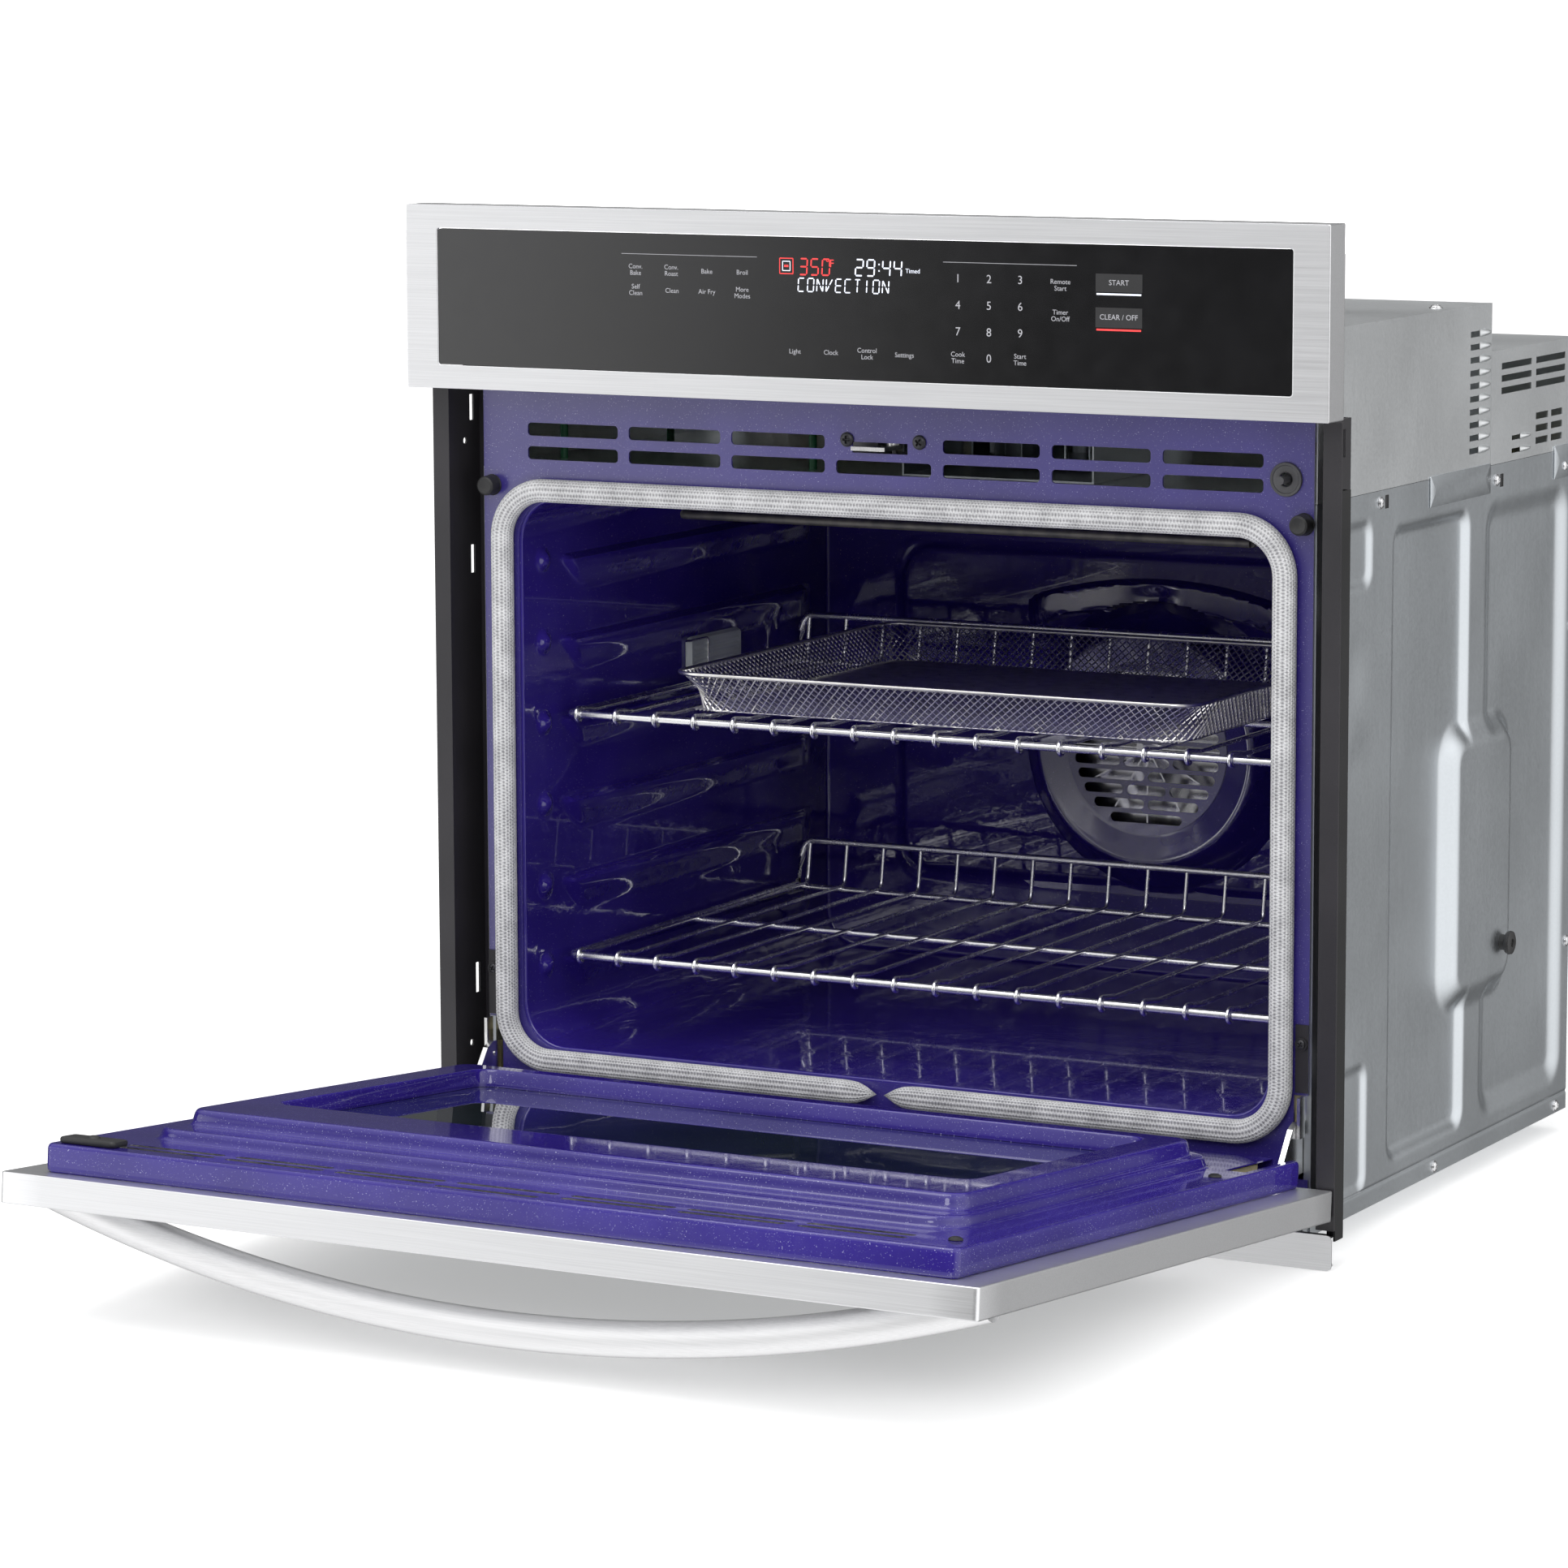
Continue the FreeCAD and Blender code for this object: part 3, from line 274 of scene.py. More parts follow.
# %% The Paint class
class Paint:
    """One number or vector in a material; arithmetic on it adds Math nodes."""

    def __init__(self, tree, socket):
        self.tree = tree
        self.socket = socket

    def add(self, kind, settings=None, values=None, out=0):
        """Any node: its settings come first, then the values or links of its sockets."""
        node = self.tree.nodes.new("ShaderNode" + kind)
        for name, value in (settings or {}).items():
            setattr(node, name, value)
        for name, value in (values or {}).items():
            if isinstance(value, Paint):
                self.tree.links.new(value.socket, node.inputs[name])
            else:
                node.inputs[name].default_value = value
        return Paint(self.tree, node.outputs[out])

    def math(self, operation, *parts):
        return self.add("Math", {"operation": operation}, dict(enumerate(parts)))

    def __add__(self, other):
        return self.math("ADD", self, other)

    __radd__ = __add__

    def __sub__(self, other):
        return self.math("SUBTRACT", self, other)

    def __rsub__(self, other):
        return self.math("SUBTRACT", other, self)

    def __mul__(self, other):
        return self.math("MULTIPLY", self, other)

    __rmul__ = __mul__

    def sine(self):
        return self.math("SINE", self)

    def part(self, axis):
        return self.add("SeparateXYZ", None, {0: self}, "XYZ".index(axis))

    def stretched(self, *scale):
        """The same place, measured in different units along each axis."""
        return self.add("VectorMath", {"operation": "MULTIPLY"}, {0: self, 1: scale})

    def noise(self, size, detail=2.0, rough=0.5):
        """Soft random patches, that many to a metre."""
        return self.add("TexNoise", None, {"Vector": self, "Scale": size, "Detail": detail, "Roughness": rough})

    def between(self, low, high):
        """0 at or below low, 1 at or above high, eased between."""
        return self.add("MapRange", {"interpolation_type": "SMOOTHSTEP"}, {0: self, 1: low, 2: high, 3: 0.0, 4: 1.0})

    def tint(self, low, high):
        """A colour from low to high as this number goes from 0 to 1."""
        low, high = (colour if isinstance(colour, Paint) else (*colour, 1) for colour in (low, high))
        return self.add("Mix", {"data_type": "RGBA"}, {"Factor": self, 6: low, 7: high}, 2)

    def bump(self, strength, distance):
        return self.add("Bump", None, {"Height": self, "Strength": strength, "Distance": distance})


def finish(name, vary, **fixed):
    """A material: fixed values on the shader's own sockets, and what vary(place) returns linked to the rest."""
    material = bpy.data.materials.new(name)
    material.use_nodes = True
    tree = material.node_tree
    shader = tree.nodes["Principled BSDF"]
    for key, value in fixed.items():
        shader.inputs[key.replace("_", " ")].default_value = value
    place = Paint(tree, tree.nodes.new("ShaderNodeTexCoord").outputs["Object"])
    for key, paint in vary(place).items():
        tree.links.new(paint.socket, shader.inputs[key])
    return material


# %% [markdown]
# ## Brushed steel
# Brushing leaves thousands of hair-fine scratches that all run one way. Noise that is stretched along
# the brushing does the same: it changes quickly across the scratches and slowly along them. It moves
# the roughness and a very shallow bump, and hardly touches the colour.

# %% Brushed steel, running along X
def brushed(name, tone, rough):
    """Stretched noise: 9 patches a metre along the scratches and 1500 across them."""
    def vary(place):
        hair = place.stretched(9, 1500, 1500).noise(1.0, 3.0, 0.6)
        cloud = place.noise(5.0, 1.0)
        return {"Base Color": hair.between(0.25, 0.75).tint([c * 0.90 for c in tone], tone),
                "Roughness": hair * 0.16 + cloud * 0.05 + (rough - 0.10),
                "Normal": hair.bump(0.10, 0.0004)}
    return finish(name, vary, Metallic=1.0)


fascia_steel = brushed("brushed_steel", (0.88, 0.885, 0.90), 0.36)
handle_steel = brushed("handle_steel", (0.96, 0.96, 0.97), 0.46)


# %% Zinc coated sheet, dull wire and bright wire
def zinc(name, tone):
    """Rolled zinc: broad soft patches, fine rolling lines and a faint grain."""
    def vary(place):
        patch = place.noise(7.0, 2.0)
        grain = place.noise(420.0, 2.0)
        roll = place.stretched(60, 900, 25).noise(1.0, 2.0)
        return {"Base Color": (patch * 0.6 + grain * 0.4).between(0.3, 0.7).tint([c * 0.92 for c in tone], tone),
                "Roughness": patch * 0.10 + grain * 0.08 + roll * 0.06 + 0.24,
                "Normal": (grain * 0.6 + roll * 0.4).bump(0.05, 0.0006)}
    return finish(name, vary, Metallic=1.0)


def drawn(name, low, high, rough, metallic=1.0):
    """Drawn or plated metal: small patches of tone and faint draw marks."""
    def vary(place):
        patch = place.noise(90.0, 3.0)
        mark = place.noise(900.0, 2.0)
        return {"Base Color": patch.between(0.3, 0.7).tint(low, high),
                "Roughness": patch * 0.10 + mark * 0.06 + rough,
                "Normal": mark.bump(0.06, 0.0003)}
    return finish(name, vary, Metallic=metallic)


zinc_steel = zinc("zinc_steel", (0.635, 0.67, 0.70))
cover_zinc = zinc("cover_zinc", (0.93, 0.955, 0.97))
wire_chrome = drawn("wire_chrome", (0.93, 0.93, 0.93), (0.99, 0.99, 0.99), 0.18)
mesh_steel = drawn("mesh_steel", (0.84, 0.83, 0.80), (0.96, 0.95, 0.92), 0.22)
bright_steel = drawn("bright_steel", (0.68, 0.68, 0.68), (0.86, 0.86, 0.86), 0.14)
motor_steel = drawn("motor_steel", (0.20, 0.20, 0.21), (0.30, 0.30, 0.31), 0.34)
sheath_steel = drawn("element_sheath", (0.10, 0.10, 0.10), (0.17, 0.16, 0.15), 0.42, 0.8)
screw_steel = drawn("screw_steel", (0.62, 0.62, 0.63), (0.80, 0.80, 0.81), 0.16)
dark_screw = drawn("dark_screw", (0.035, 0.035, 0.04), (0.06, 0.06, 0.065), 0.30, 0.7)

# %% [markdown]
# ## Porcelain enamel
# Enamel is glass melted on to steel. It shows a deep colour, a hard reflection, a skin that is never
# quite flat, and pale specks where the powder did not melt fully. The depth comes from a dark base
# under a clear coat; the ripple is a bump with patches a few centimetres across.

# %% Cobalt blue enamel
def enamel(name, speck_share, ripple, rough, **glaze):
    """Base blue with pale specks above a noise threshold, and a slow ripple for the coat."""
    def vary(place):
        cloud = place.noise(9.0, 2.0)
        speck = place.noise(1300.0, 1.0).between(speck_share, speck_share + 0.03)
        wave = place.noise(38.0, 2.0) + place.noise(240.0, 1.0) * 0.12
        base = cloud.between(0.3, 0.7).tint((0.020, 0.010, 0.165), (0.029, 0.016, 0.210))
        return {"Base Color": speck.tint(base, (0.42, 0.42, 0.62)),
                "Roughness": cloud * 0.05 + speck * 0.10 + rough,
                "Normal": wave.bump(ripple, 0.002)}
    return finish(name, vary, **glaze)


blue_enamel = enamel("blue_enamel", 0.71, 0.10, 0.28, IOR=1.8, Coat_Weight=0.9, Coat_Roughness=0.2)
door_enamel = enamel("door_enamel", 0.71, 0.08, 0.06, IOR=1.45, Coat_Weight=0.45, Coat_Roughness=0.03)
cavity_enamel = enamel("cavity_enamel", 0.75, 0.34, 0.05, IOR=1.5, Coat_Weight=0.6, Coat_Roughness=0.02)
fan_enamel = enamel("fan_enamel", 0.75, 0.06, 0.16, IOR=2.0, Coat_Weight=1.0, Coat_Roughness=0.08, Coat_IOR=1.9)


# %% Dark paint, rubber, plastic, boards and wool
def grained(name, low, high, rough, grain_size, depth, **fixed):
    """A moulded or painted skin: fine grain in the bump, soft patches in tone and gloss."""
    def vary(place):
        grain = place.noise(grain_size, 2.0)
        cloud = place.noise(14.0, 2.0)
        return {"Base Color": (cloud * 0.7 + grain * 0.3).between(0.3, 0.7).tint(low, high),
                "Roughness": grain * 0.12 + cloud * 0.06 + rough,
                "Normal": grain.bump(depth, 0.0005)}
    return finish(name, vary, **fixed)


dark_paint = grained("dark_paint", (0.018, 0.017, 0.020), (0.026, 0.024, 0.028), 0.32, 1100.0, 0.08)
black_paint = grained("black_paint", (0.006, 0.006, 0.007), (0.012, 0.012, 0.013), 0.36, 900.0, 0.10)
black_rubber = grained("black_rubber", (0.010, 0.010, 0.011), (0.022, 0.022, 0.023), 0.42, 700.0, 0.20)
switch_plastic = grained("switch_plastic", (0.055, 0.055, 0.060), (0.085, 0.085, 0.090), 0.34, 900.0, 0.10)
board_green = grained("circuit_board", (0.01, 0.10, 0.04), (0.02, 0.16, 0.06), 0.30, 260.0, 0.20)
wool_yellow = grained("mineral_wool", (0.42, 0.36, 0.18), (0.66, 0.60, 0.38), 0.80, 420.0, 0.90)
ceramic_white = grained("lamp_ceramic", (0.66, 0.64, 0.58), (0.74, 0.72, 0.66), 0.22, 300.0, 0.06)
panel_black = grained("panel_glass", (0.0045, 0.0045, 0.005), (0.006, 0.006, 0.007), 0.03, 60.0, 0.01,
                      Coat_Weight=0.6, Coat_Roughness=0.02, IOR=1.5)


# %% Glass: the lamp's lens and the door's tinted panes
def tinted(name, low, high, **fixed):
    """Soda glass: a faint unevenness of tint, and a surface almost without roughness."""
    def vary(place):
        cloud = place.noise(11.0, 2.0)
        return {"Base Color": cloud.between(0.3, 0.7).tint(low, high), "Roughness": cloud * 0.02 + 0.01}
    return finish(name, vary, Coat_Weight=1.0, **fixed)


lamp_glass = tinted("lamp_glass", (0.42, 0.45, 0.45), (0.56, 0.60, 0.60), IOR=1.6)
door_glass = tinted("door_glass", (0.012, 0.020, 0.026), (0.020, 0.032, 0.040), IOR=1.55, Coat_Roughness=0.01)


# %% Lit print
def lit(colour, strength):
    """Printed marks lit from behind: the colour glows a little unevenly."""
    def vary(place):
        glow = place.noise(160.0, 1.0).between(0.1, 0.9)
        return {"Emission Color": glow.tint([c * 0.88 for c in colour], colour),
                "Base Color": glow.tint([c * 0.5 for c in colour], [c * 0.6 for c in colour])}
    name = "print_%d_%d" % (round(colour[0] * 100), round(colour[1] * 100))
    return finish(name, vary, Roughness=0.4, Emission_Strength=strength)


INKS = {"key": lit((0.030, 0.030, 0.032), 0.2), "grey": lit((0.42, 0.42, 0.45), 0.55),
        "white": lit((0.80, 0.84, 0.95), 0.9), "red": lit((0.85, 0.05, 0.05), 1.0)}
print("finishes:", len(bpy.data.materials))

# %% [markdown]
# ## Parts that keep their engineering shape
# Many parts are already right: sheets with slots, motors, screws. They stay as they are and only get
# a finish, which goes into the material slots that they came with.

# %% Dress the engineering parts
DRESS = (
    (fascia_steel, "fascia_frame bottom_trim door_skin"), (handle_steel, "handle"),
    (zinc_steel, "base_pan back_panel motor_cover blower_housing blower_wheel side_panel_left side_panel_right"),
    (cover_zinc, "upper_cover rear_vent_box"), (blue_enamel, "front_frame"), (door_enamel, "door_liner"),
    (cavity_enamel, "cavity_liner"), (fan_enamel, "fan_cover"), (panel_black, "control_glass"),
    (board_green, "display_board control_board"), (wool_yellow, "insulation door_insulation"),
    (ceramic_white, "lamp_holder"), (lamp_glass, "lamp_lens"), (door_glass, "door_outer_glass door_inner_glass"),
    (black_rubber, "frame_bumpers side_spools door_pads"), (switch_plastic, "switch_bezel switch_plunger"),
    (dark_paint, "side_trim_left side_trim_right hinge_cover_left hinge_cover_right door_gasket"),
    (black_paint, "cabinet_rail_left cabinet_rail_right trim_bracket"), (dark_screw, "frame_screws"),
    (motor_steel, "conduit_gland blower_motor convection_motor latch_motor hinge_body_left hinge_body_right"),
    (sheath_steel, "convection_element broil_element bake_element"), (screw_steel, "case_screws"),
    (bright_steel, "temperature_sensor latch_hook hinge_arm_left hinge_arm_right convection_fan "
                   "hinge_lock_left hinge_lock_right"),
    (wire_chrome, "rack_lower rack_upper"), (mesh_steel, "mesh_tray"))
dressed = 0
for material, names in DRESS:
    for node_name in names.split():
        dressed += 1
        for slot in frame["nodes"][node_name].material_slots:
            slot.material = material
print("dressed:", dressed, "of", len(frame["nodes"]))

# %% [markdown]
# ## The steel surround of the control panel
# This is one folded sheet: a window lip, a flat front and four flanges. Each fold is a small curve.
# As a surface it is a rounded rectangle that grows from the window to the outside and then turns
# back, so one list of stations describes the whole part.

# %% Control panel surround
def folded(stations, amount, **counts):
    """Stations (half, low, high, radius, depth) with softened folds, joined into a closed ring."""
    path = soften(list(stations) + [stations[0]], amount)
    return skin(rings(path, **counts), wrap_columns=True)


piece("control_surround", [folded([
    (350, 613.3, 716.6, 2.5, -47.5), (350, 613.3, 716.6, 2.5, -49), (378, 595.5, 734, 1.0, -49),
    (378, 595.5, 734, 1.0, -21.6), (376.5, 597, 732.5, 0.6, -21.6), (376.5, 597, 732.5, 0.6, -47.5)], 0.9)],
    "oven", fascia_steel, ["fascia_frame"])

# %% [markdown]
# ## Marks on the touch glass
# The marks are thin and flat, so they are real letters and bars set a tenth of a millimetre ahead of
# the glass. Text is made into a mesh first, and then put in its place. The clock's characters are a
# choice from the same thirteen slim hexagons: seven straight ones, and six that cross the middle.

# %% Letters, bars and digits
GLASS_FACE = float(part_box("control_glass")[0].y) * 1000 - 0.12
marks = {ink: [] for ink in INKS}


def word(text, x, z, height, ink="grey"):
    """Lettering centred on (x, z) in millimetres."""
    curve = bpy.data.curves.new("word", "FONT")
    curve.body, curve.size, curve.space_line, curve.resolution_u = text, height, 0.95, 3
    curve.align_x = curve.align_y = "CENTER"
    mesh = flat_mesh(curve)
    mesh.transform(Matrix.Translation((x, GLASS_FACE, z)) @ Matrix.Rotation(math.pi / 2, 4, "X"))
    marks[ink].append(mesh)


def polygons(outlines, ink):
    """Flat shapes from lists of (x, z) corners."""
    corners = np.vstack(outlines)
    points = np.insert(corners, 1, GLASS_FACE + (0.06 if ink == "key" else 0), axis=1)
    sizes = np.cumsum([0] + [len(o) for o in outlines])
    mesh = bpy.data.meshes.new("bars")
    mesh.from_pydata(points.tolist(), [], [list(range(a, b)) for a, b in zip(sizes[:-1], sizes[1:])])
    marks[ink].append(mesh)


def bar(x0, x1, z, thick, ink):
    half = thick / 2
    polygons([np.array([(x0, z - half), (x1, z - half), (x1, z + half), (x0, z + half)])], ink)


SEGMENTS = {"0": "abcdef", "2": "abged", "3": "abgcd", "4": "fgbc", "5": "afgcd", "9": "abcdfg", "C": "afed",
            "O": "abcdef", "E": "afged", "I": "im", "T": "aim", "N": "fbecnk", "V": "fejl"}


def digits(text, x, z, tall, ink):
    """Digits of slim bars: a to f round the outside, g across, i m down the middle, n k j l slanted."""
    wide, t, lean = tall * 0.52, tall * 0.048, 0.06
    top, mid, low, half = z + tall / 2, z, z - tall / 2, wide / 2
    ends = {"a": (0, top, wide, top), "g": (0, mid, wide, mid), "d": (0, low, wide, low), "f": (0, top, 0, mid),
            "b": (wide, top, wide, mid), "e": (0, mid, 0, low), "c": (wide, mid, wide, low),
            "i": (half, top, half, mid), "m": (half, mid, half, low), "n": (0, top, half, mid),
            "k": (half, mid, wide, low), "j": (half, mid, wide, top), "l": (0, low, half, mid)}
    outlines = []
    for mark in text:
        for name in SEGMENTS.get(mark, ""):
            a, b = np.array(ends[name], float).reshape(2, 2)
            way = (b - a) / np.linalg.norm(b - a)
            side = np.array([-way[1], way[0]]) * t
            a, b = a + way * t * 0.6, b - way * t * 0.6
            outline = np.array([a, a + way * t + side, b - way * t + side, b, b - way * t - side, a + way * t - side])
            outline[:, 0] += x + (outline[:, 1] - z) * lean
            outlines.append(outline)
        if mark == ":":
            for dot in (z - tall * 0.22, z + tall * 0.18):
                outlines.append(np.array([(x, dot), (x + 2 * t, dot), (x + 2 * t, dot + 2 * t), (x, dot + 2 * t)]))
        x += tall * (0.30 if mark == ":" else 0.80)
    polygons(outlines, ink)


def frame_box(x0, x1, z0, z1, ink, thick):
    """Four slim bars round a mark."""
    bar(x0, x1, z0, thick, ink)
    bar(x0, x1, z1, thick, ink)
    for x in (x0, x1):
        bar(x - thick / 2, x + thick / 2, (z0 + z1) / 2, z1 - z0, ink)


# %% Lay out the panel
ROW_HIGH, ROW_LOW = 689.2, 674.3
for text, x, z in (("Conv.\nBake", -178.3, ROW_HIGH), ("Conv.\nRoast", -148.0, ROW_HIGH), ("Bake", -118.0, ROW_HIGH),
                   ("Broil", -88.3, ROW_HIGH), ("Self\nClean", -178.3, ROW_LOW), ("Clean", -147.4, ROW_LOW),
                   ("Air Fry", -118.0, ROW_LOW), ("More\nModes", -88.3, ROW_LOW), ("Light", -44.6, 632.7),
                   ("Clock", -14.9, 632.7), ("Control\nLock", 14.8, 632.7), ("Settings", 45.3, 632.7),
                   ("Cook\nTime", 88.5, 632.3), ("Start\nTime", 138.3, 632.3), ("Remote\nStart", 170.1, 686.6),
                   ("Timer\nOn/Off", 170.1, 664.8)):
    word(text, x, z, 5.0)
for count, text in enumerate("123456789"):
    word(text, 88.5 + 24.9 * (count % 3), 689.2 - 19.1 * (count // 3), 8.6)
word("0", 113.4, 632.2, 8.6)
word("Timed", 52.1, 693.6, 4.6, "white")
word("START", 216.0, 689.3, 5.4)
word("CLEAR / OFF", 216.0, 664.8, 5.4)
for x0, x1, z, thick, ink in (
        (-190.2, -76.0, 700.9, 0.35, "grey"), (76.6, 183.0, 700.9, 0.35, "grey"), (197.8, 234.3, 689.2, 13.0, "key"),
        (197.8, 234.3, 664.6, 14.2, "key"), (198.6, 233.5, 681.2, 1.3, "white"), (198.6, 233.5, 655.9, 1.3, "red"),
        (-53.2, -49.8, 695.0, 1.6, "red")):
    bar(x0, x1, z, thick, ink)
digits("350", -40.4, 694.8, 11.6, "red")
word("\u00b0F", -15.6, 697.4, 8.0, "red")
digits("29:44", 5.6, 695.2, 11.6, "white")
digits("CONVECTION", -41.6, 681.6, 9.6, "white")
frame_box(-57.0, -46.0, 689.4, 700.6, "red", 0.7)
frame_box(-54.6, -48.4, 691.6, 698.4, "white", 0.6)


# %% Join the marks of each colour
for name, ink in (("panel_keys", "key"), ("panel_print", "grey"), ("panel_display", "white"),
                  ("panel_display_red", "red")):
    shape = bmesh.new()
    for mesh in marks[ink]:
        shape.from_mesh(mesh)
        bpy.data.meshes.remove(mesh)
    bmesh.ops.scale(shape, verts=shape.verts, vec=(0.001, 0.001, 0.001))
    bmesh.ops.triangulate(shape, faces=shape.faces)
    for face in shape.faces:
        face.normal_update()
        if face.normal.y > 0:
            face.normal_flip()
    mesh = bpy.data.meshes.new(name)
    shape.to_mesh(mesh)
    shape.free()
    placed(name, mesh, "oven", INKS[ink])

# %% [markdown]
# ## The enamelled cavity
# The cavity is pressed from sheet steel. Its side walls carry a ledge for each rack height, and a small
# round stop in front of each ledge. The wall is a stack of rounded loops from the mouth to the back;
# the ledges and stops push each point of it inward by a height that is worked out from its place.

# %% Soft steps and the wall's pressed shapes
def ease(value, low, high):
    """0 below low, 1 above high, and 3t^2 - 2t^3 between."""
    t = np.clip((value - low) / (high - low), 0, 1)
    return t * t * (3 - 2 * t)


def plateau(x, z, low_x, high_x, low_z, high_z, radius, slope):
    """1 inside a rounded rectangle, falling to 0 over the slope: eased distance to its edge."""
    middle_x, middle_z = (low_x + high_x) / 2, (low_z + high_z) / 2
    off_x = np.abs(x - middle_x) - (high_x - low_x) / 2 + radius
    off_z = np.abs(z - middle_z) - (high_z - low_z) / 2 + radius
    outside = np.hypot(np.maximum(off_x, 0), np.maximum(off_z, 0)) + np.minimum(np.maximum(off_x, off_z), 0) - radius
    return 1 - ease(outside, -slope, 0)


LEDGES = 143.4 + 63.3 * np.arange(6)


def wall_press(y, z):
    """Inward height of a side wall: each ledge is steep on top and slopes away below; each stop is a dome."""
    height = np.zeros_like(y)
    for level in LEDGES:
        below = level - z
        across = ease(below, 0.0, 4.5) * (1 - ease(below, 6.0, 31.0))
        start = 58 + np.clip(below, 0, 34) * 1.1
        along = ease(y, start, start + 13) * (1 - ease(y, 452, 476))
        height += 6.0 * across * along
        spot = np.hypot(y - 38, (z - level + 2) * 1.1)
        height += 5.4 * (1 - ease(spot, 2.0, 11.5))
    return height


# %% The cavity as one closed skin
WALL, FLANGE, BACKS = (312, 84, 508, 32), (332, 64, 528, 42), (313.2, 82.8, 509.2, 33)
GRID = {"wide": 60, "tall": 176, "arc": 8}
depths = np.concatenate([np.linspace(12, 110, 42), np.linspace(113.5, 440, 60), np.linspace(444, 500, 18)])
mouth = soften([(*FLANGE, 9.0), (*FLANGE, 7.6), (*WALL, 7.6), (*WALL, 12)], 3.2, 5)
walls = [(*WALL, y) for y in depths]
heel = soften([(*WALL, 500), (*WALL, 507), (304, 92, 500, 26, 507)], 6, 5)
shell_in = rings(np.vstack([mouth, walls[1:], heel[1:]]), **GRID)
flat = np.abs(shell_in[..., 0]) > 290
inside = (shell_in[..., 1] > 12) & flat & (shell_in[..., 2] > 110) & (shell_in[..., 2] < 482)
push = wall_press(shell_in[..., 1], shell_in[..., 2]) * inside
shell_in[..., 0] -= np.sign(shell_in[..., 0]) * push
centre = np.repeat(np.array([[[0, 507, 296.0]]]), shell_in.shape[1], 1)
shell_out = rings([(0.01, 296, 296.02, 0.01, 508.0), (*BACKS, 508.0), (*BACKS, 9.0), (*FLANGE, 9.0)], **GRID)
cavity = skin(np.concatenate([shell_out[:-1], shell_in, centre]), wrap_columns=True)
piece("cavity_shell", [cavity], "oven", cavity_enamel, ["cavity_liner"])


# %% The pressed back wall
def plate(front, axis, back, middle):
    """A front grid with a flat back: a band runs from its rim to the back, then on to the middle point."""
    rim = np.concatenate([front[0, :-1], front[:-1, -1], front[-1, :0:-1], front[:0:-1, 0]])
    low = rim.copy()
    low[:, axis] = back
    centre = np.broadcast_to(np.asarray(middle, float), rim.shape)
    return [skin(front), skin(np.stack([rim, low, centre]), wrap_columns=True)]


x, z = np.meshgrid(np.linspace(-303, 303, 243), np.linspace(93, 499, 163))
raised = plateau(x, z, -240, 240, 154, 432, 30, 6)
bead = np.exp(-((plateau(x, z, -262, 262, 132, 454, 40, 44) - 0.5) / 0.12) ** 2)
ripple = 0.25 * np.sin(x / 31.0 + 1.7 * np.sin(z / 47.0)) * np.sin(z / 23.0)
depth = 506.6 - 5.2 * raised - 1.6 * bead - ripple * ease(303 - np.abs(x), 0, 30)
piece("cavity_back_wall", plate(np.stack([x, depth, z], -1), 1, 507.0, (x.mean(), 507.0, z.mean())),
      "oven", cavity_enamel, crease=50)

# %% [markdown]
# ## The fan cover
# The fan sits behind a dished ring with a slotted disc in its middle. The plate round it is a grid that
# runs from the disc's rim out to a rounded rectangle, so its rows are rings and its columns are rays.

# %% Dish, arch and plate
FAN = np.array([0.0, 276.0])
border = loop(135, 148, 428, 24, wide=26, tall=26, arc=5)
ray = border - FAN
reach = np.linalg.norm(ray, axis=1)
share = np.concatenate([np.linspace(0, 0.42, 26), np.linspace(0.44, 1, 34)])[:, None]
radius = 70 + (reach - 70) * share
plate_x, plate_z = (ray / reach[:, None]).T[:, None] * radius + FAN[:, None, None]


def cover_depth(radius, x, z):
    """Depth of the plate: a dish that rises to a bright rim at 92, a cone down to 124, and an arch above."""
    dish = np.interp(radius, [70, 73, 90, 92.5, 95, 98, 104, 118, 124, 134],
                     [474.5, 473.8, 468.4, 467.4, 467.6, 470, 478, 498, 504.4, 505])
    spine = 416 - 0.00135 * x ** 2
    across = np.abs(z - spine + 17)
    arch = 16 * (1 - ease(across, 9, 15)) * (1 - ease(np.abs(x), 100, 130))
    dimple = 7 * np.exp(-((x / 9) ** 2 + ((z - 398) / 9) ** 2))
    return np.minimum(dish, np.where(radius > 118, 505 - arch + dimple, 505))


front = np.stack([plate_x, cover_depth(radius, plate_x, plate_z), plate_z], -1)
behind = front[::-1] + np.array([0, 0.9, 0])
piece("fan_cover_plate", [skin(np.concatenate([front, behind]), wrap_rows=True, wrap_columns=True)], "oven",
      fan_enamel, ["fan_cover"])


# %% The slotted disc, from a flat curve with holes
def grille(name, outline, holes, thick, depth, material):
    """A flat curve fills between its outer line and its holes; its mesh is then stood up at the depth."""
    curve = bpy.data.curves.new(name, "CURVE")
    curve.dimensions, curve.fill_mode, curve.extrude = "2D", "BOTH", thick / 2
    for line in [outline] + list(holes):
        spline = curve.splines.new("POLY")
        spline.points.add(len(line) - 1)
        spline.points.foreach_set("co", np.column_stack([line, np.zeros(len(line)), np.ones(len(line))]).ravel())
        spline.use_cyclic_u = True
    mesh = flat_mesh(curve)
    mesh.transform(Matrix.Scale(0.001, 4) @ Matrix.Translation((0, depth, 0)) @ Matrix.Rotation(math.pi / 2, 4, "X"))
    welded(mesh, 1e-6, clean=False)
    return placed(name, mesh, "oven", material)


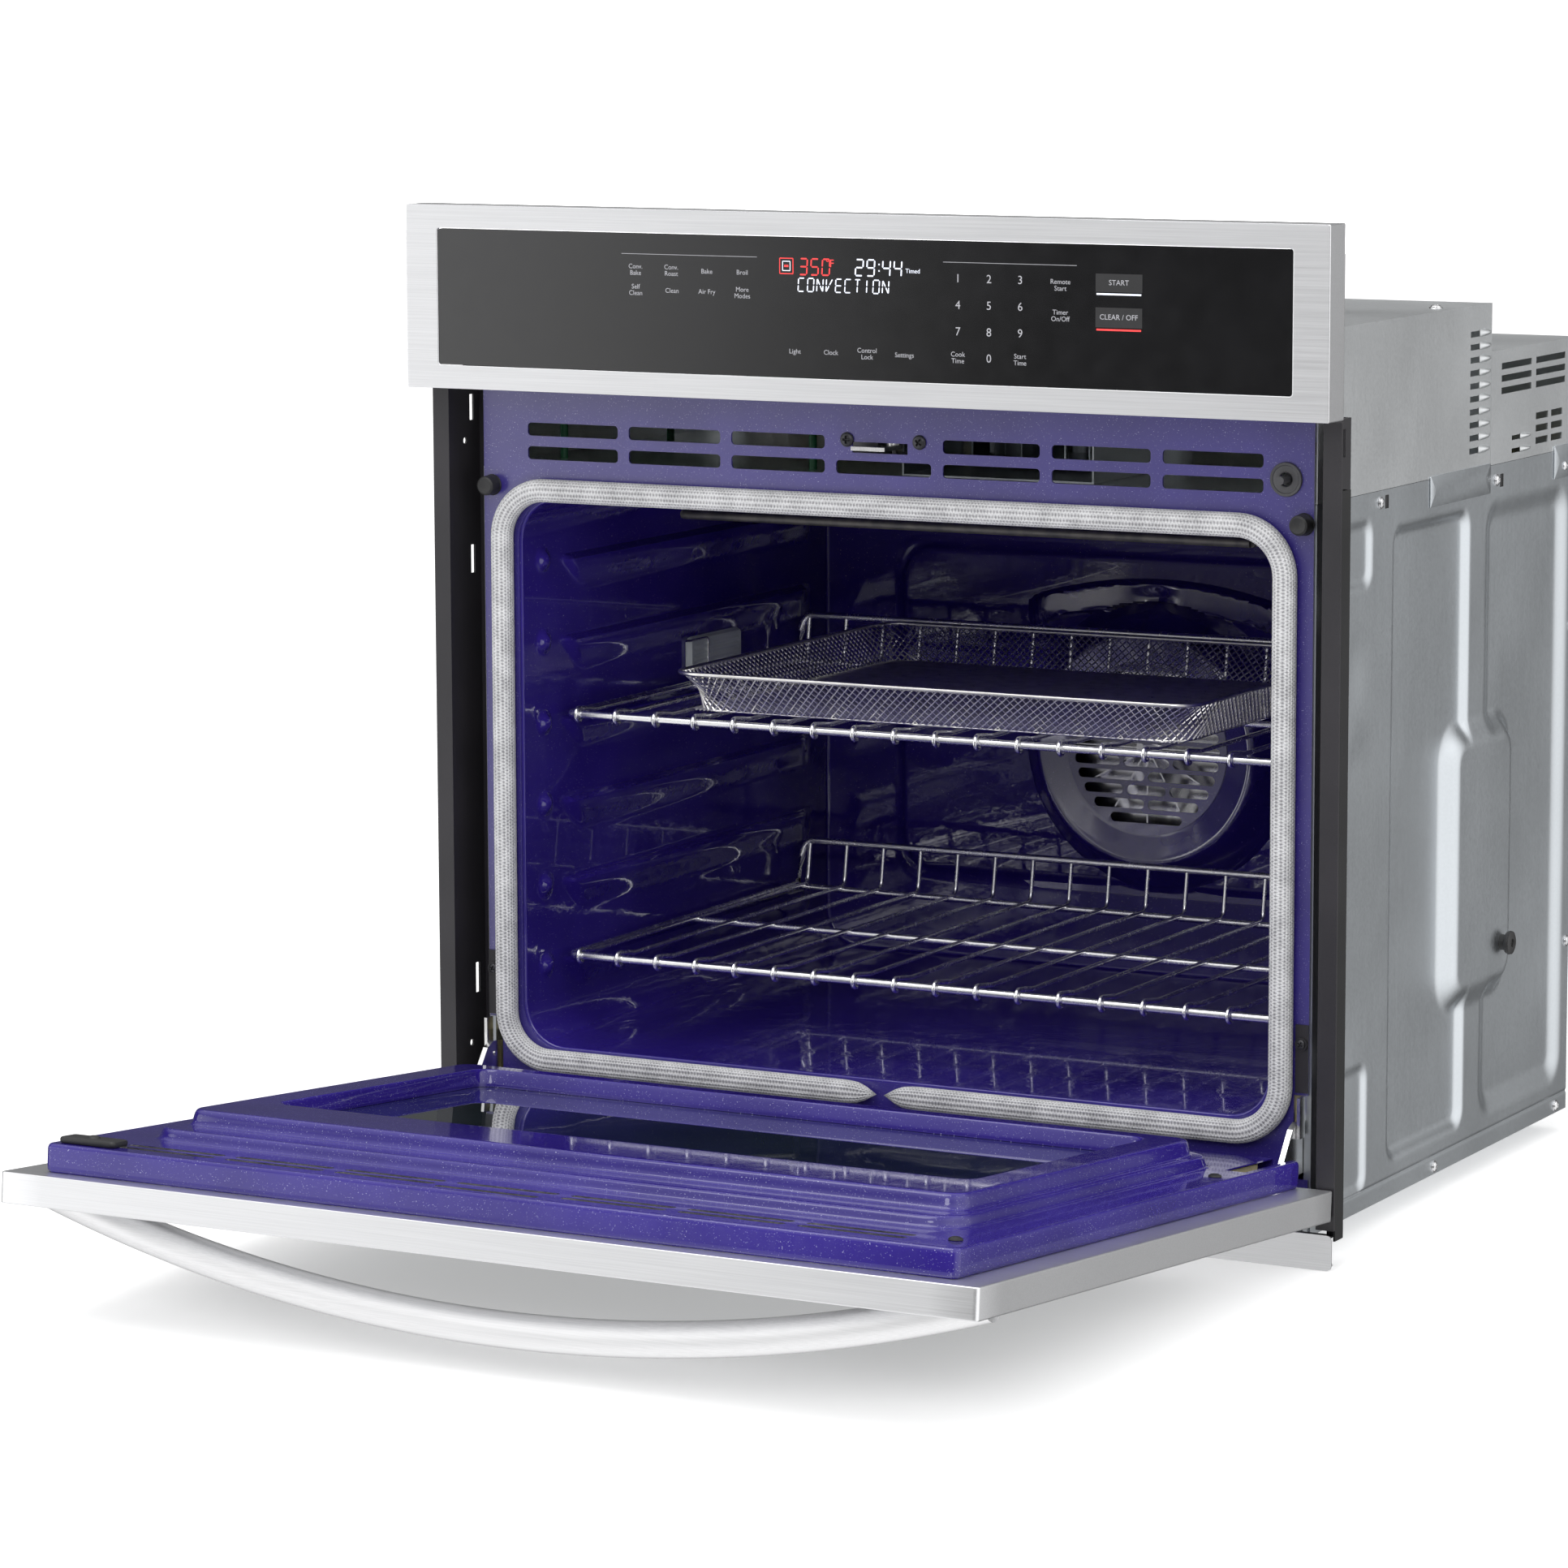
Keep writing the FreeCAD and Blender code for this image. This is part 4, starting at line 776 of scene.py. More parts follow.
circle = np.linspace(0, 2 * math.pi, 96, endpoint=False)
slots = []
for row in range(-5, 6):
    high = 11.6 * row
    half = math.sqrt(67.0 ** 2 - high ** 2)
    count = 1 if abs(row) == 5 else (3 if row % 2 else 2)
    for column in range(count):
        start = -half + column * 2 * half / count
        wide = half / count - 1.6
        hole = loop(wide, high - 4, high + 4, 3.95, arc=5, centre=start + half / count)
        slots.append(hole + np.array([0, FAN[1]]))
disc = np.stack([71.5 * np.cos(circle), FAN[1] + 71.5 * np.sin(circle)], -1)
grille("fan_grille", disc, slots, 1.2, 473.9, fan_enamel)

# %% [markdown]
# ## Racks of bent wire
# Each rack is thick rod for the frame, and eighteen thin wires that hook round the front rod, run back
# and turn up into a guard. A wire is a circle carried along its path; a hook is an arc of that path.

# %% One rack
def arc(centre, radius, start, stop, steps=6):
    """Points on a circle in the Y-Z plane, from one angle to another in degrees."""
    angle = np.radians(np.linspace(start, stop, steps))
    return np.asarray(centre) + radius * np.stack([np.zeros(steps), np.cos(angle), np.sin(angle)], -1)


def rack(name, level):
    """Rods and wires at one level: front at y = 59, the guard 37 mm high at the back."""
    half, first, last, guard = 303.0, 59.0, 436.0, level + 37.0
    frame_line = soften([(-half, last, level), (-half, first, level), (half, first, level), (half, last, level),
                         (half - 4, last + 6, guard), (-half + 4, last + 6, guard), (-half, last, level)], 10, 7)
    parts = [tube(frame_line[:-1], 3.0, side=(0.13, 0.61, 0.78), sides=10, wrap=True)]
    for y in ((first + last) / 2, last - 6):
        parts.append(tube(np.array([(-half, y, level - 0.6), (half, y, level - 0.6)]), 2.7, side=(0, 0, 1), sides=10))
    for x in (np.arange(18) - 8.5) * 34.5:
        hook = arc((x, first, level), 4.8, 300, 75, 12)
        run = soften([(x, first + 9, level + 4.2), (x, first + 22, level + 1.6), (x, last, level + 1.6),
                      (x, last + 5.4, guard - 1)], 6, 4)
        parts.append(tube(np.vstack([hook, run[1:]]), 1.9, side=(1, 0, 0), sides=8))
    piece("bent_" + name, parts, name, wire_chrome, [name], crease=60)


rack("rack_lower", 146.8)
rack("rack_upper", 336.7)

# %% [markdown]
# ## The woven tray
# The tray is a rim rod, walls of crossed slanting wires that lean inward, and a fine woven floor. The
# hundreds of wires are all straight, so one array of start points and one of end points makes them.

# %% Straight wires from arrays
def wires(starts, ends, radius):
    """Four-sided wires: each end is a small square across the wire, and the two squares are joined."""
    along = unit(ends - starts)
    helper = np.where(np.abs(along[:, 2:]) > 0.8, np.array([[1.0, 0, 0]]), np.array([[0, 0, 1.0]]))
    across = unit(np.cross(along, helper))
    third = np.cross(along, across)
    square = np.stack([across, third, -across, -third], 1) * radius
    points = np.concatenate([starts[:, None] + square, ends[:, None] + square], 1)
    local = np.array([[0, 1, 5, 4], [1, 2, 6, 5], [2, 3, 7, 6], [3, 0, 4, 7], [3, 2, 1, 0], [4, 5, 6, 7]])
    faces = local[None] + 8 * np.arange(len(starts))[:, None, None]
    return points.reshape(-1, 3), faces.reshape(-1, 4)


def rim_loop(inset, z, count=None):
    """The tray's rounded outline, drawn in by an inset, at height z; resampled to even steps if asked."""
    ring = loop(222 - 1.7 - inset, 72 + 1.7 + inset, 438.5 - 1.7 - inset, 22, wide=40, tall=34, arc=8)
    if count:
        closed = np.vstack([ring, ring[:1]])
        gone = np.concatenate([[0], np.cumsum(np.linalg.norm(np.diff(closed, axis=0), axis=1))])
        even = np.linspace(0, gone[-1], count, endpoint=False)
        ring = np.stack([np.interp(even, gone, closed[:, k]) for k in (0, 1)], -1)
    return np.column_stack([ring, np.full(len(ring), z)])


# %% Rim, walls and floor
RIM, FOOT = 371.6, 342.6
COUNT = 232
top, low_ring = rim_loop(0.6, RIM, COUNT), rim_loop(13.0, FOOT, COUNT)
parts = [tube(rim_loop(0, RIM), 1.7, side=(0, 0, 1), sides=8, wrap=True),
         tube(rim_loop(13.4, FOOT), 0.9, side=(0, 0, 1), sides=6, wrap=True)]
for turn in (-5, 5):
    parts.append(wires(top, np.roll(low_ring, turn, 0), 0.66))
lines = [[(x, y, FOOT - 0.4) for x in np.arange(-205, 206, 3.4)] for y in (87.5, 423.0)]
parts.append(wires(*np.array(lines), 0.62))
lines = [[(x, y, FOOT + 0.3) for y in np.arange(89, 423, 3.4)] for x in (-206.5, 206.5)]
parts.append(wires(*np.array(lines), 0.62))
piece("tray_weave", parts, "tray", mesh_steel, ["mesh_tray"], crease=60)

# %% [markdown]
# ## The braided door gasket
# The gasket is a flattened rope of glass fibre that runs round the mouth and ends, a little apart, in the
# middle of the bottom edge. Its braid follows the rope, so the pattern uses the piece's own map: one
# direction is the length along the rope, and the other goes round it.

# %% Braid finish
def braid(place):
    """Rows of short stitches: two slanted waves across the map. The colour is painted darker where a stitch dips
    under, as painted shade, on top of random tone.
    """
    tree = place.tree
    map_node = tree.nodes.new("ShaderNodeUVMap")
    map_node.uv_map = "along"
    spot = Paint(tree, map_node.outputs["UV"])
    length, turn = spot.part("X"), spot.part("Y")
    one = (length * 2400.0 + turn * 60.0).sine()
    two = (length * 2400.0 - turn * 60.0).sine()
    row = (turn * 110.0).sine()
    height = one.math("MAXIMUM", one, two) * 0.5 + row * 0.35
    cloud = place.noise(60.0, 2.0)
    fuzz = place.noise(900.0, 2.0)
    # Painted shade: the stitch height darkens the colour in the dips; cloud and fuzz add random tone.
    tone = (height * 0.30 + cloud * 0.5 + fuzz * 0.5 + 0.05).between(0.15, 1.0)
    return {"Base Color": tone.tint((0.20, 0.20, 0.21), (0.74, 0.74, 0.75)),
            "Roughness": fuzz * 0.2 + 0.62, "Normal": (height + fuzz * 0.6).bump(0.55, 0.0012)}


gasket_braid = finish("gasket_braid", braid, Sheen_Weight=0.25)

# %% Rope round the mouth
half_path = loop(325, 74, 516, 37, wide=90, tall=70, arc=14)
start = np.argmin(np.hypot(half_path[:, 0], half_path[:, 1] - 74))
path = np.roll(half_path, -start, 0)
path = path[(np.abs(path[:, 0]) > 2.4) | (path[:, 1] > 90)]
path = np.column_stack([path[:, 0], np.full(len(path), -0.35), path[:, 1]])
path[0, 0], path[-1, 0] = 3.0 * np.sign(path[0, 0]), 3.0 * np.sign(path[-1, 0])
out = np.cross(unit(np.gradient(path, axis=0)), np.array([0, 1.0, 0]))
angle = np.linspace(0, 2 * math.pi, 21)[:-1]
wide = 8.9 * np.sign(np.cos(angle)) * np.abs(np.cos(angle)) ** 0.75
deep = 6.15 * np.sign(np.sin(angle)) * np.abs(np.sin(angle)) ** 0.75
squeeze = np.ones(len(path))
squeeze[:4], squeeze[-4:] = (0.0, 0.62, 0.88, 0.97), (0.97, 0.88, 0.62, 0.0)
section = out[:, None] * wide[None, :, None] + np.array([0, 1.0, 0]) * deep[None, :, None]
rope = path[:, None] + squeeze[:, None, None] * section
gone = np.concatenate([[0], np.cumsum(np.linalg.norm(np.diff(path, axis=0), axis=1))]) * 0.001
around = np.linspace(0, 1, 21)
rope = np.concatenate([rope, rope[:, :1]], 1)
uv = np.stack(np.broadcast_arrays(gone[:, None], around[None, :]), -1)
piece("gasket_rope", [skin(rope)], "oven", gasket_braid, ["door_gasket"], uv=uv, crease=80)

# %% [markdown]
# ## The door
# The door is a shallow steel pan outside and a stepped enamel pressing inside. Both are rounded loops
# again: the steps of the pressing are stations with soft corners between them. Slots are cut from the
# finished skin with a boolean, because a grid cannot change its layout in the middle.

# %% Cutting slots out of a piece
def cut_out(item, cutters):
    """Take closed shapes away from a piece, then keep the result as its mesh."""
    points, faces = merge(cutters)
    mesh = bpy.data.meshes.new("cutter")
    mesh.from_pydata((points * 0.001).tolist(), [], faces.tolist())
    welded(mesh, 1e-6)
    tool = bpy.data.objects.new("cutter", mesh)
    bpy.context.scene.collection.objects.link(tool)
    step = item.modifiers.new("slots", "BOOLEAN")
    step.object, step.operation, step.solver = tool, "DIFFERENCE", "EXACT"
    result = as_mesh(item)
    item.modifiers.clear()
    item.data = result
    bpy.data.objects.remove(tool)
    print("%-22s %6d faces after cutting" % (item.name, len(result.polygons)))


def stadium(middle, half, low, high, front, back):
    """A slot's plug: a loop with round ends, closed to a line at both depths."""
    tuck = (high - low) / 2 - 0.002
    stations = [(half - tuck, low + tuck, high - tuck, 0.001, front), (half, low, high, tuck, front),
                (half, low, high, tuck, back), (half - tuck, low + tuck, high - tuck, 0.001, back)]
    return skin(rings(stations, arc=5) + np.array([middle, 0, 0]), wrap_columns=True)


# %% Door skin and liner
VIEW, OUTSIDE, LIP, INSIDE = (306, 54, 416, 6), (376, -17, 559, 3.5), (348.5, -9.5, 538, 5), (374.9, -15.9, 557.9, 2.6)
pan = opened(folded([(*VIEW, -8.9), (*VIEW, -10), (*OUTSIDE, -10), (*OUTSIDE, 12), (*LIP, 12), (*LIP, 10.9),
                     (*INSIDE, 10.9), (*INSIDE, -8.9)], 1.1, wide=24, tall=18, arc=6))
door_pan = piece("door_pan", [pan], "door", fascia_steel, ["door_skin"])
cut_out(door_pan, [opened(slab((side * 338 - 5, 0, -24), (side * 338 + 5, 13.5, -8), 0.2, 0.2)) for side in (-1, 1)])

outer_path = soften([(350.5, -11.5, 540, 5, 12.2), (352, -13, 541.5, 6, 14), (352, -13, 541.5, 6, 32),
                     (316.4, 52, 474, 28, 32), (313.6, 55, 471, 25, 40), (304.6, 64.4, 442.6, 15.5, 40),
                     (301.8, 67.2, 439.8, 13, 51), (276, 85, 369, 14, 51), (273, 88, 366, 12, 41),
                     (273, 88, 366, 12, 38.2)], 4.2, 5)
step = unit(np.gradient(outer_path[:, [0, 4]], axis=0))
inset = np.stack([-step[:, 1], step[:, 1], -step[:, 1], -step[:, 1], step[:, 0]], -1) * 1.1
inner_path = (outer_path + inset)[::-1]
inner_path[:, 3] = np.maximum(inner_path[:, 3], 0.5)
inner_path[:, 4] = np.maximum(inner_path[:, 4], 12.2)
liner = rings(np.vstack([outer_path, inner_path, outer_path[:1]]), wide=40, tall=30, arc=8)
door_pressing = piece("door_pressing", [opened(skin(liner, wrap_columns=True))], "door", door_enamel,
                      ["door_liner"], crease=40)
vents = [(column * 88.5, 39.5, low, low + 8) for low in (503, 516.5) for column in range(-3, 4)
         if column or low < 510]
vents.append((-4, 40, 525, 533))
cutters = [opened(stadium(*vent, 28, 34)) for vent in vents]
for side in (-1, 1):
    cutters.append(opened(slab((side * 338 - 8, 10, -30), (side * 338 + 8, 34, 74), 0.2, 0.2)))
cut_out(door_pressing, cutters)


def lip(middle, half, low, high):
    """A thin steel collar that lines a slot: the slot's loop at two depths, and again a little larger."""
    tuck = (high - low) / 2 - 0.1
    inner = (half - 0.06, low + 0.06, high - 0.06, tuck - 0.06)
    outer = (half + 0.9, low - 0.9, high + 0.9, tuck + 0.9)
    ring = rings([(*outer, 31.5), (*inner, 31.8), (*inner, 26.0), (*outer, 26.0), (*outer, 31.5)], arc=5)
    return skin(ring + np.array([middle, 0, 0]), wrap_columns=True)


piece("door_vent_lips", [opened(lip(*vent)) for vent in vents], "door", bright_steel, crease=50)

# %% [markdown]
# ## The handle
# The handle is one bent bar. Its centre line is an arc of a large circle, and the section is a circle
# flattened where the ends meet the door.

# %% Handle, pad and plugs
BOW, SPAN = 52.4, 350.0
arc_radius = (SPAN ** 2 + BOW ** 2) / (2 * BOW)
across = np.linspace(-363.5, 363.5, 97)
bend = np.stack([across, -9 - BOW + arc_radius - np.sqrt(arc_radius ** 2 - across ** 2), np.full(97, 515.0)], -1)
points, faces = tube(bend, 12.4, side=(0, 0, 1), sides=32)
points[:, 1] = np.minimum(points[:, 1], -10.1)
piece("handle_bar", [opened((points, faces))], "door", handle_steel, ["handle"], crease=45)

pad = slab((-346, 32.1, 514), (-300, 36.6, 534), 1.4, 3.5)
dome = spun([(0.001, 38.6), (2.2, 38.4), (4.0, 37.6), (4.9, 36.2), (4.9, 35.8)], (-323, 0, 524), turns=20)
plugs = [spun([(0.001, 34.6), (2.6, 34.4), (4.6, 33.4), (4.9, 32.3), (0.001, 32.2)], (x, 0, z), turns=20)
         for x, z in ((334, 508), (339.5, 112))]
piece("door_rubber", [opened(part) for part in [pad, dome] + plugs], "door", black_rubber,
      ["door_pads"])

# %% [markdown]
# ## The zinc side panels
# A side panel is thin sheet, stiffened by pressed shapes: shallow recesses with a straight bead between
# them, and one raised pad. It is a height field: how far each point of a flat grid stands out is the
# sum of a few rounded plateaus with sloping edges, so the highlights fall on the slopes by themselves.

# %% Pressed side panels
def panel_height(y, z):
    """Outward height of the right panel, in millimetres, from plateaus with eased slopes."""
    height = -4.6 * plateau(y, z, 152, 304, 26, 504, 16, 9)
    height += -4.6 * plateau(y, z, 336, 514, 24, 507, 26, 20)
    height += -2.6 * plateau(y, z, 18, 112, 462, 514, 14, 8) - 2.6 * plateau(y, z, 18, 112, 13, 112, 14, 8)
    wrinkle = 1.1 * np.exp(-((y - 70) / 26) ** 2) * np.sin(z / 17.0) * ease(z, 330, 360) * (1 - ease(z, 420, 450))
    pad = plateau(y, z, 254, 402, 117, 343, 34, 22)
    groove = np.exp(-((z - 14.2) / 1.1) ** 2)
    return height * (1 - pad) + 5.9 * pad + wrinkle - 0.8 * groove


y_line = np.linspace(8, 529, 208)
z_line = np.concatenate([np.linspace(0, 12, 9), np.linspace(12.6, 16.4, 8), np.linspace(17.5, 532, 204)])
y, z = np.meshgrid(y_line, z_line)
for tag, side in (("left", -1), ("right", 1)):
    front = np.stack([side * (345.8 + panel_height(y, z)), y, z], -1)
    piece("side_sheet_" + tag, plate(front, 0, side * 340.4, (side * 340.4, 268.5, 266.0)),
          "oven", zinc_steel, ["side_panel_" + tag], crease=50)

# %% [markdown]
# ## Covers, louvres and tabs
# The rear vent box comes from the frame. Its finer slots are cut in a merged copy, and each louvre is a
# small hood: a half drop, wide at its open end and closing to the sheet, set over a slot.

# %% Slots in a copy of the vent box
def through(side, y0, y1, z0, z1):
    """A slot's plug through a side wall."""
    low, high = sorted((side * 343.0, side * 347.2))
    return slab((low, y0, z0), (high, y1, z1), 0.2, 0.6, face="x")


cutters = []
for side in (-1, 1):
    for row in range(3):
        for start, stop in ((439, 465), (472, 496)):
            cutters.append(through(side, start, stop, 560.2 - 9.6 * row, 565.4 - 9.6 * row))
    for low in (538.0, 548.0):
        cutters.append(through(side, 388, 412, low, low + 3.6))
    cutters.append(through(side, 372, 378, 526, 531))
mesh = frame["nodes"]["rear_vent_box"].data.copy()
welded(mesh, clean=False, outward=False)
vent_sheet = placed("rear_vent_sheet", mesh, "oven", cover_zinc, ["rear_vent_box"])
cut_out(vent_sheet, cutters)
vent_sheet.data.set_sharp_from_angle(angle=math.radians(30))


# %% Louvre hoods and overlay tabs
def hood(side, y0, y1, z0, z1, proud):
    """A drop-shaped bulge: its height is a half sine across the slot, growing along it, then closing fast."""
    u, v = np.meshgrid(np.linspace(0, 1, 15), np.linspace(0, 1, 9))
    swell = ease(u, 0.35, 0.80) * (1 - ease(u, 0.86, 1.0)) * np.sin(v * math.pi) ** 0.8
    width = 1 - 0.55 * ease(u, 0.72, 1.0)
    z = (z0 + z1) / 2 + (v - 0.5) * (z1 - z0) * width
    outer = np.stack([side * (346.0 + proud * swell), y0 + (y1 - y0) * u, z], -1)[:, 6:]
    inner = outer.copy()
    inner[..., 0] = side * 345.85
    return skin(np.concatenate([outer, inner[::-1]]), wrap_rows=True)


hoods = []
for side in (-1, 1):
    for row in range(10):
        hoods.append(hood(side, 300, 341, 543.4 + 9.8 * row, 549.4 + 9.8 * row, 2.6))
    for low in (537.6, 547.6):
        hoods.append(hood(side, 388, 427, low, low + 4.6, 2.6))
piece("louvre_hoods", hoods, "oven", cover_zinc, crease=50)



def on_sides(inner, outer, areas, edge, corner):
    """Thin plates on both side walls, between two distances from the middle: areas are (y0, y1, z0, z1)."""
    plates = []
    for side in (-1, 1):
        low, high = sorted((side * inner, side * outer))
        plates += [slab((low, y0, z0), (high, y1, z1), edge, corner, face="x") for y0, y1, z0, z1 in areas]
    return plates


piece("overlay_tabs", on_sides(345.9, 346.7, ((221, 343, 511, 534), (479, 528.6, 510, 536)), 0.3, 0.8),
      "oven", zinc_steel)
# Black plates where the clip holes are: painted shade standing for the dark inside of each hole.
piece("clip_hole_shade", on_sides(345.0, 346.05, ((134.8, 141.2, 518, 528), (364.8, 371.2, 514, 524)), 0.2, 0.6),
      "oven", black_paint)

# %% Stand-offs turned from rubber
spool = [(0.001, 345.95), (9.0, 345.95), (9.4, 347.2), (8.6, 348.9), (6.2, 349.8), (6.0, 355.5), (8.4, 356.6),
         (9.2, 358.4), (8.9, 360.4), (7.2, 361.2), (3.4, 361.2), (3.0, 359.6), (0.001, 359.6)]
for tag, side in (("left", -1), ("right", 1)):
    profile = [(r, side * x) for r, x in spool]
    piece("stand_off_" + tag, [spun(profile, (0, 366, 161), axis="x", turns=28)], "oven", black_rubber,
          ["side_spools"] if side < 0 else [])

# %% [markdown]
# ## Screws with a cross recess
# A pan-head screw is a low dome with a cross sunk in it. The head is a height over a round grid, so the
# cross is only a sum: two bars, eased at their edges, taken from the dome.

# %% One screw head as a height over a disc
def screw(centre, axis, side, radius, height, turn=0.5):
    """Dome height times sqrt(1 - (r/R)^2), less a cross of two eased bars, closed behind by a flat disc."""
    r, angle = np.meshgrid(np.concatenate([np.linspace(0, 0.7, 14), [0.8, 0.9, 0.96, 0.995]]),
                           np.linspace(0, 2 * math.pi, 40, endpoint=False), indexing="ij")
    u, v = r * np.cos(angle + turn), r * np.sin(angle + turn)
    bars = [(1 - ease(np.abs(a), 0.07, 0.15)) * (1 - ease(np.abs(b), 0.42, 0.60)) for a, b in ((u, v), (v, u))]
    cross = np.maximum(bars[0], bars[1]) * (1 - 0.25 * r)
    rise = height * (0.35 + 0.65 * np.sqrt(np.clip(1 - r ** 2, 0, 1)) - 0.75 * cross)
    a, b = r * radius * np.cos(angle), r * radius * np.sin(angle)
    a = np.vstack([a, a[-1:], np.zeros((1, 40))])
    b = np.vstack([b, b[-1:], np.zeros((1, 40))])
    c = side * np.vstack([rise, np.zeros((2, 40))])
    order = {"x": (c, a, b), "y": (a, c, b), "z": (a, b, c)}[axis]
    return skin(np.stack(order, -1) + np.asarray(centre, float), wrap_columns=True)


# %% Screws on the frame, the hinge covers and the case
piece("frame_screw_heads", [screw((x, 5.9, 564.5), "y", -1, 5.4, 2.6, 0.3 + 0.01 * x) for x in (-30, 30)],
      "oven", dark_screw, ["frame_screws"])
piece("hinge_cover_screws", [screw((x, 2.75, 142), "y", -1, 3.6, 1.8) for x in (-339.4, 339.4)],
      "oven", dark_screw)
heads = []
for side in (-1, 1):
    for count, (y, z) in enumerate(((247, 6), (505, 6), (126, 523), (357, 520), (502, 519), (523.5, 390),
                                    (523.5, 137))):
        washer = [(0.001, side * 345.9), (4.8, side * 345.9), (4.7, side * 346.5), (0.001, side * 346.5)]
        heads.append(spun(washer, (0, y, z), axis="x", turns=20))
        heads.append(screw((side * 346.5, y, z), "x", side, 3.5, 1.9, 0.7 * count))
for count, (x, y) in enumerate(((-330, 74), (330, 74), (-330, 268), (330, 268))):
    heads.append(spun([(0.001, 656.1), (5.2, 656.1), (5.0, 656.7), (0.001, 656.7)], (x, y, 0), axis="z", turns=20))
    heads.append(screw((x, y, 656.7), "z", 1, 3.8, 1.9, count))
piece("case_screw_heads", heads, "oven", screw_steel, ["case_screws"])
piece("cavity_screws", [screw((x, y, z), "y", -1, 5.0, 2.0, 0.4 * x) for x, y, z in
                        ((-118, 505, 417), (118, 505, 417), (-117, 505, 160), (117, 505, 160))],
      "oven", screw_steel)

# %% [markdown]
# ## Small fittings in the front
# Rubber bumpers, the door switch, and the lamp's ribbed lens with its wire clip. Each is turned, carried
# or pressed with the same few helpers.

# %% Bumpers and door switch
bump_line = [(0.001, -5.2), (3.0, -5.6), (5.6, -6.3), (7.0, -5.4), (7.5, -3.6), (7.5, 4.8), (8.2, 5.7), (0.001, 5.8)]
bump_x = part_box("frame_bumpers")[1].x * 1000 - 7.5
piece("bumper_caps", [spun(bump_line, (x, 0, 518), turns=28) for x in (-bump_x, bump_x)],
      "oven", black_rubber, ["frame_bumpers"])
bezel = [(5.0, 5.85), (5.0, 4.6), (5.6, 4.1), (9.2, 4.1), (9.9, 4.4), (10.4, 3.9), (12.0, 3.8), (12.4, 4.6),
         (12.4, 5.85), (5.0, 5.85)]
piece("switch_ring", [spun(bezel, (323, 0, 549.6), turns=32)], "oven", switch_plastic,
      ["switch_bezel"])

# %% Lamp lens
y, z = np.meshgrid(np.linspace(262, 350, 89), np.linspace(343, 374, 33))
edge = plateau(y, z, 262, 350, 343, 374, 5, 3.2)
glass_x = -311.4 + 4.3 * edge + 0.45 * np.sin(z * 2 * math.pi / 5.2) * edge * plateau(y, z, 268, 344, 348, 369, 2, 3)
piece("lamp_cover", plate(np.stack([glass_x, y, z], -1), 0, -311.7, (-311.7, 306.0, 358.5)),
      "oven", lamp_glass, ["lamp_lens"])
clip = soften([(-309, 258, 346), (-306.4, 264, 346), (-306.2, 290, 346), (-306.2, 290, 371), (-306.4, 264, 371),
               (-309, 258, 371)], 4, 4)
piece("lamp_clip", [tube(clip, 1.0, side=(0.3, 0.2, 0.9), sides=8)], "oven", bright_steel)

# %% [markdown]
# ## Camera, light and floor
# The camera stands well back, a little above and to the right, with a long lens, as for a catalogue.
# The room is a pale studio: a broad bright screen on the left, another on the right, a soft ceiling,
# and darker gaps between them. Polished steel and enamel show those screens as bright bands.

# %% Camera
scene = bpy.context.scene
yaw, pitch, roll = math.radians(28.27), math.radians(8.44), math.radians(-0.21)
look = Vector((-math.sin(yaw) * math.cos(pitch), math.cos(yaw) * math.cos(pitch), -math.sin(pitch)))
lens = bpy.data.cameras.new("camera")
lens.lens, lens.sensor_width, lens.clip_end = 132.63, 36.0, 60.0
camera = bpy.data.objects.new("camera", lens)
turn = look.to_track_quat("-Z", "Y").to_matrix().to_4x4() @ Matrix.Rotation(roll, 4, "Z")
camera.matrix_world = Matrix.Translation((1.949, -3.775, 0.940)) @ turn
scene.collection.objects.link(camera)
scene.camera = camera
scene.view_settings.view_transform = "Standard"

# %% Studio round the oven
world = bpy.data.worlds.new("studio")
scene.world = world
world.use_nodes = True
studio = world.node_tree
backdrop = studio.nodes["Background"]
way = Paint(studio, studio.nodes.new("ShaderNodeTexCoord").outputs["Generated"])


def toward(x, y, z, low, high):
    """How closely a direction points to (x, y, z): the dot product, eased from low to high."""
    aim = Vector((x, y, z)).normalized()
    return way.add("VectorMath", {"operation": "DOT_PRODUCT"}, {0: way, 1: aim}, "Value").between(low, high)


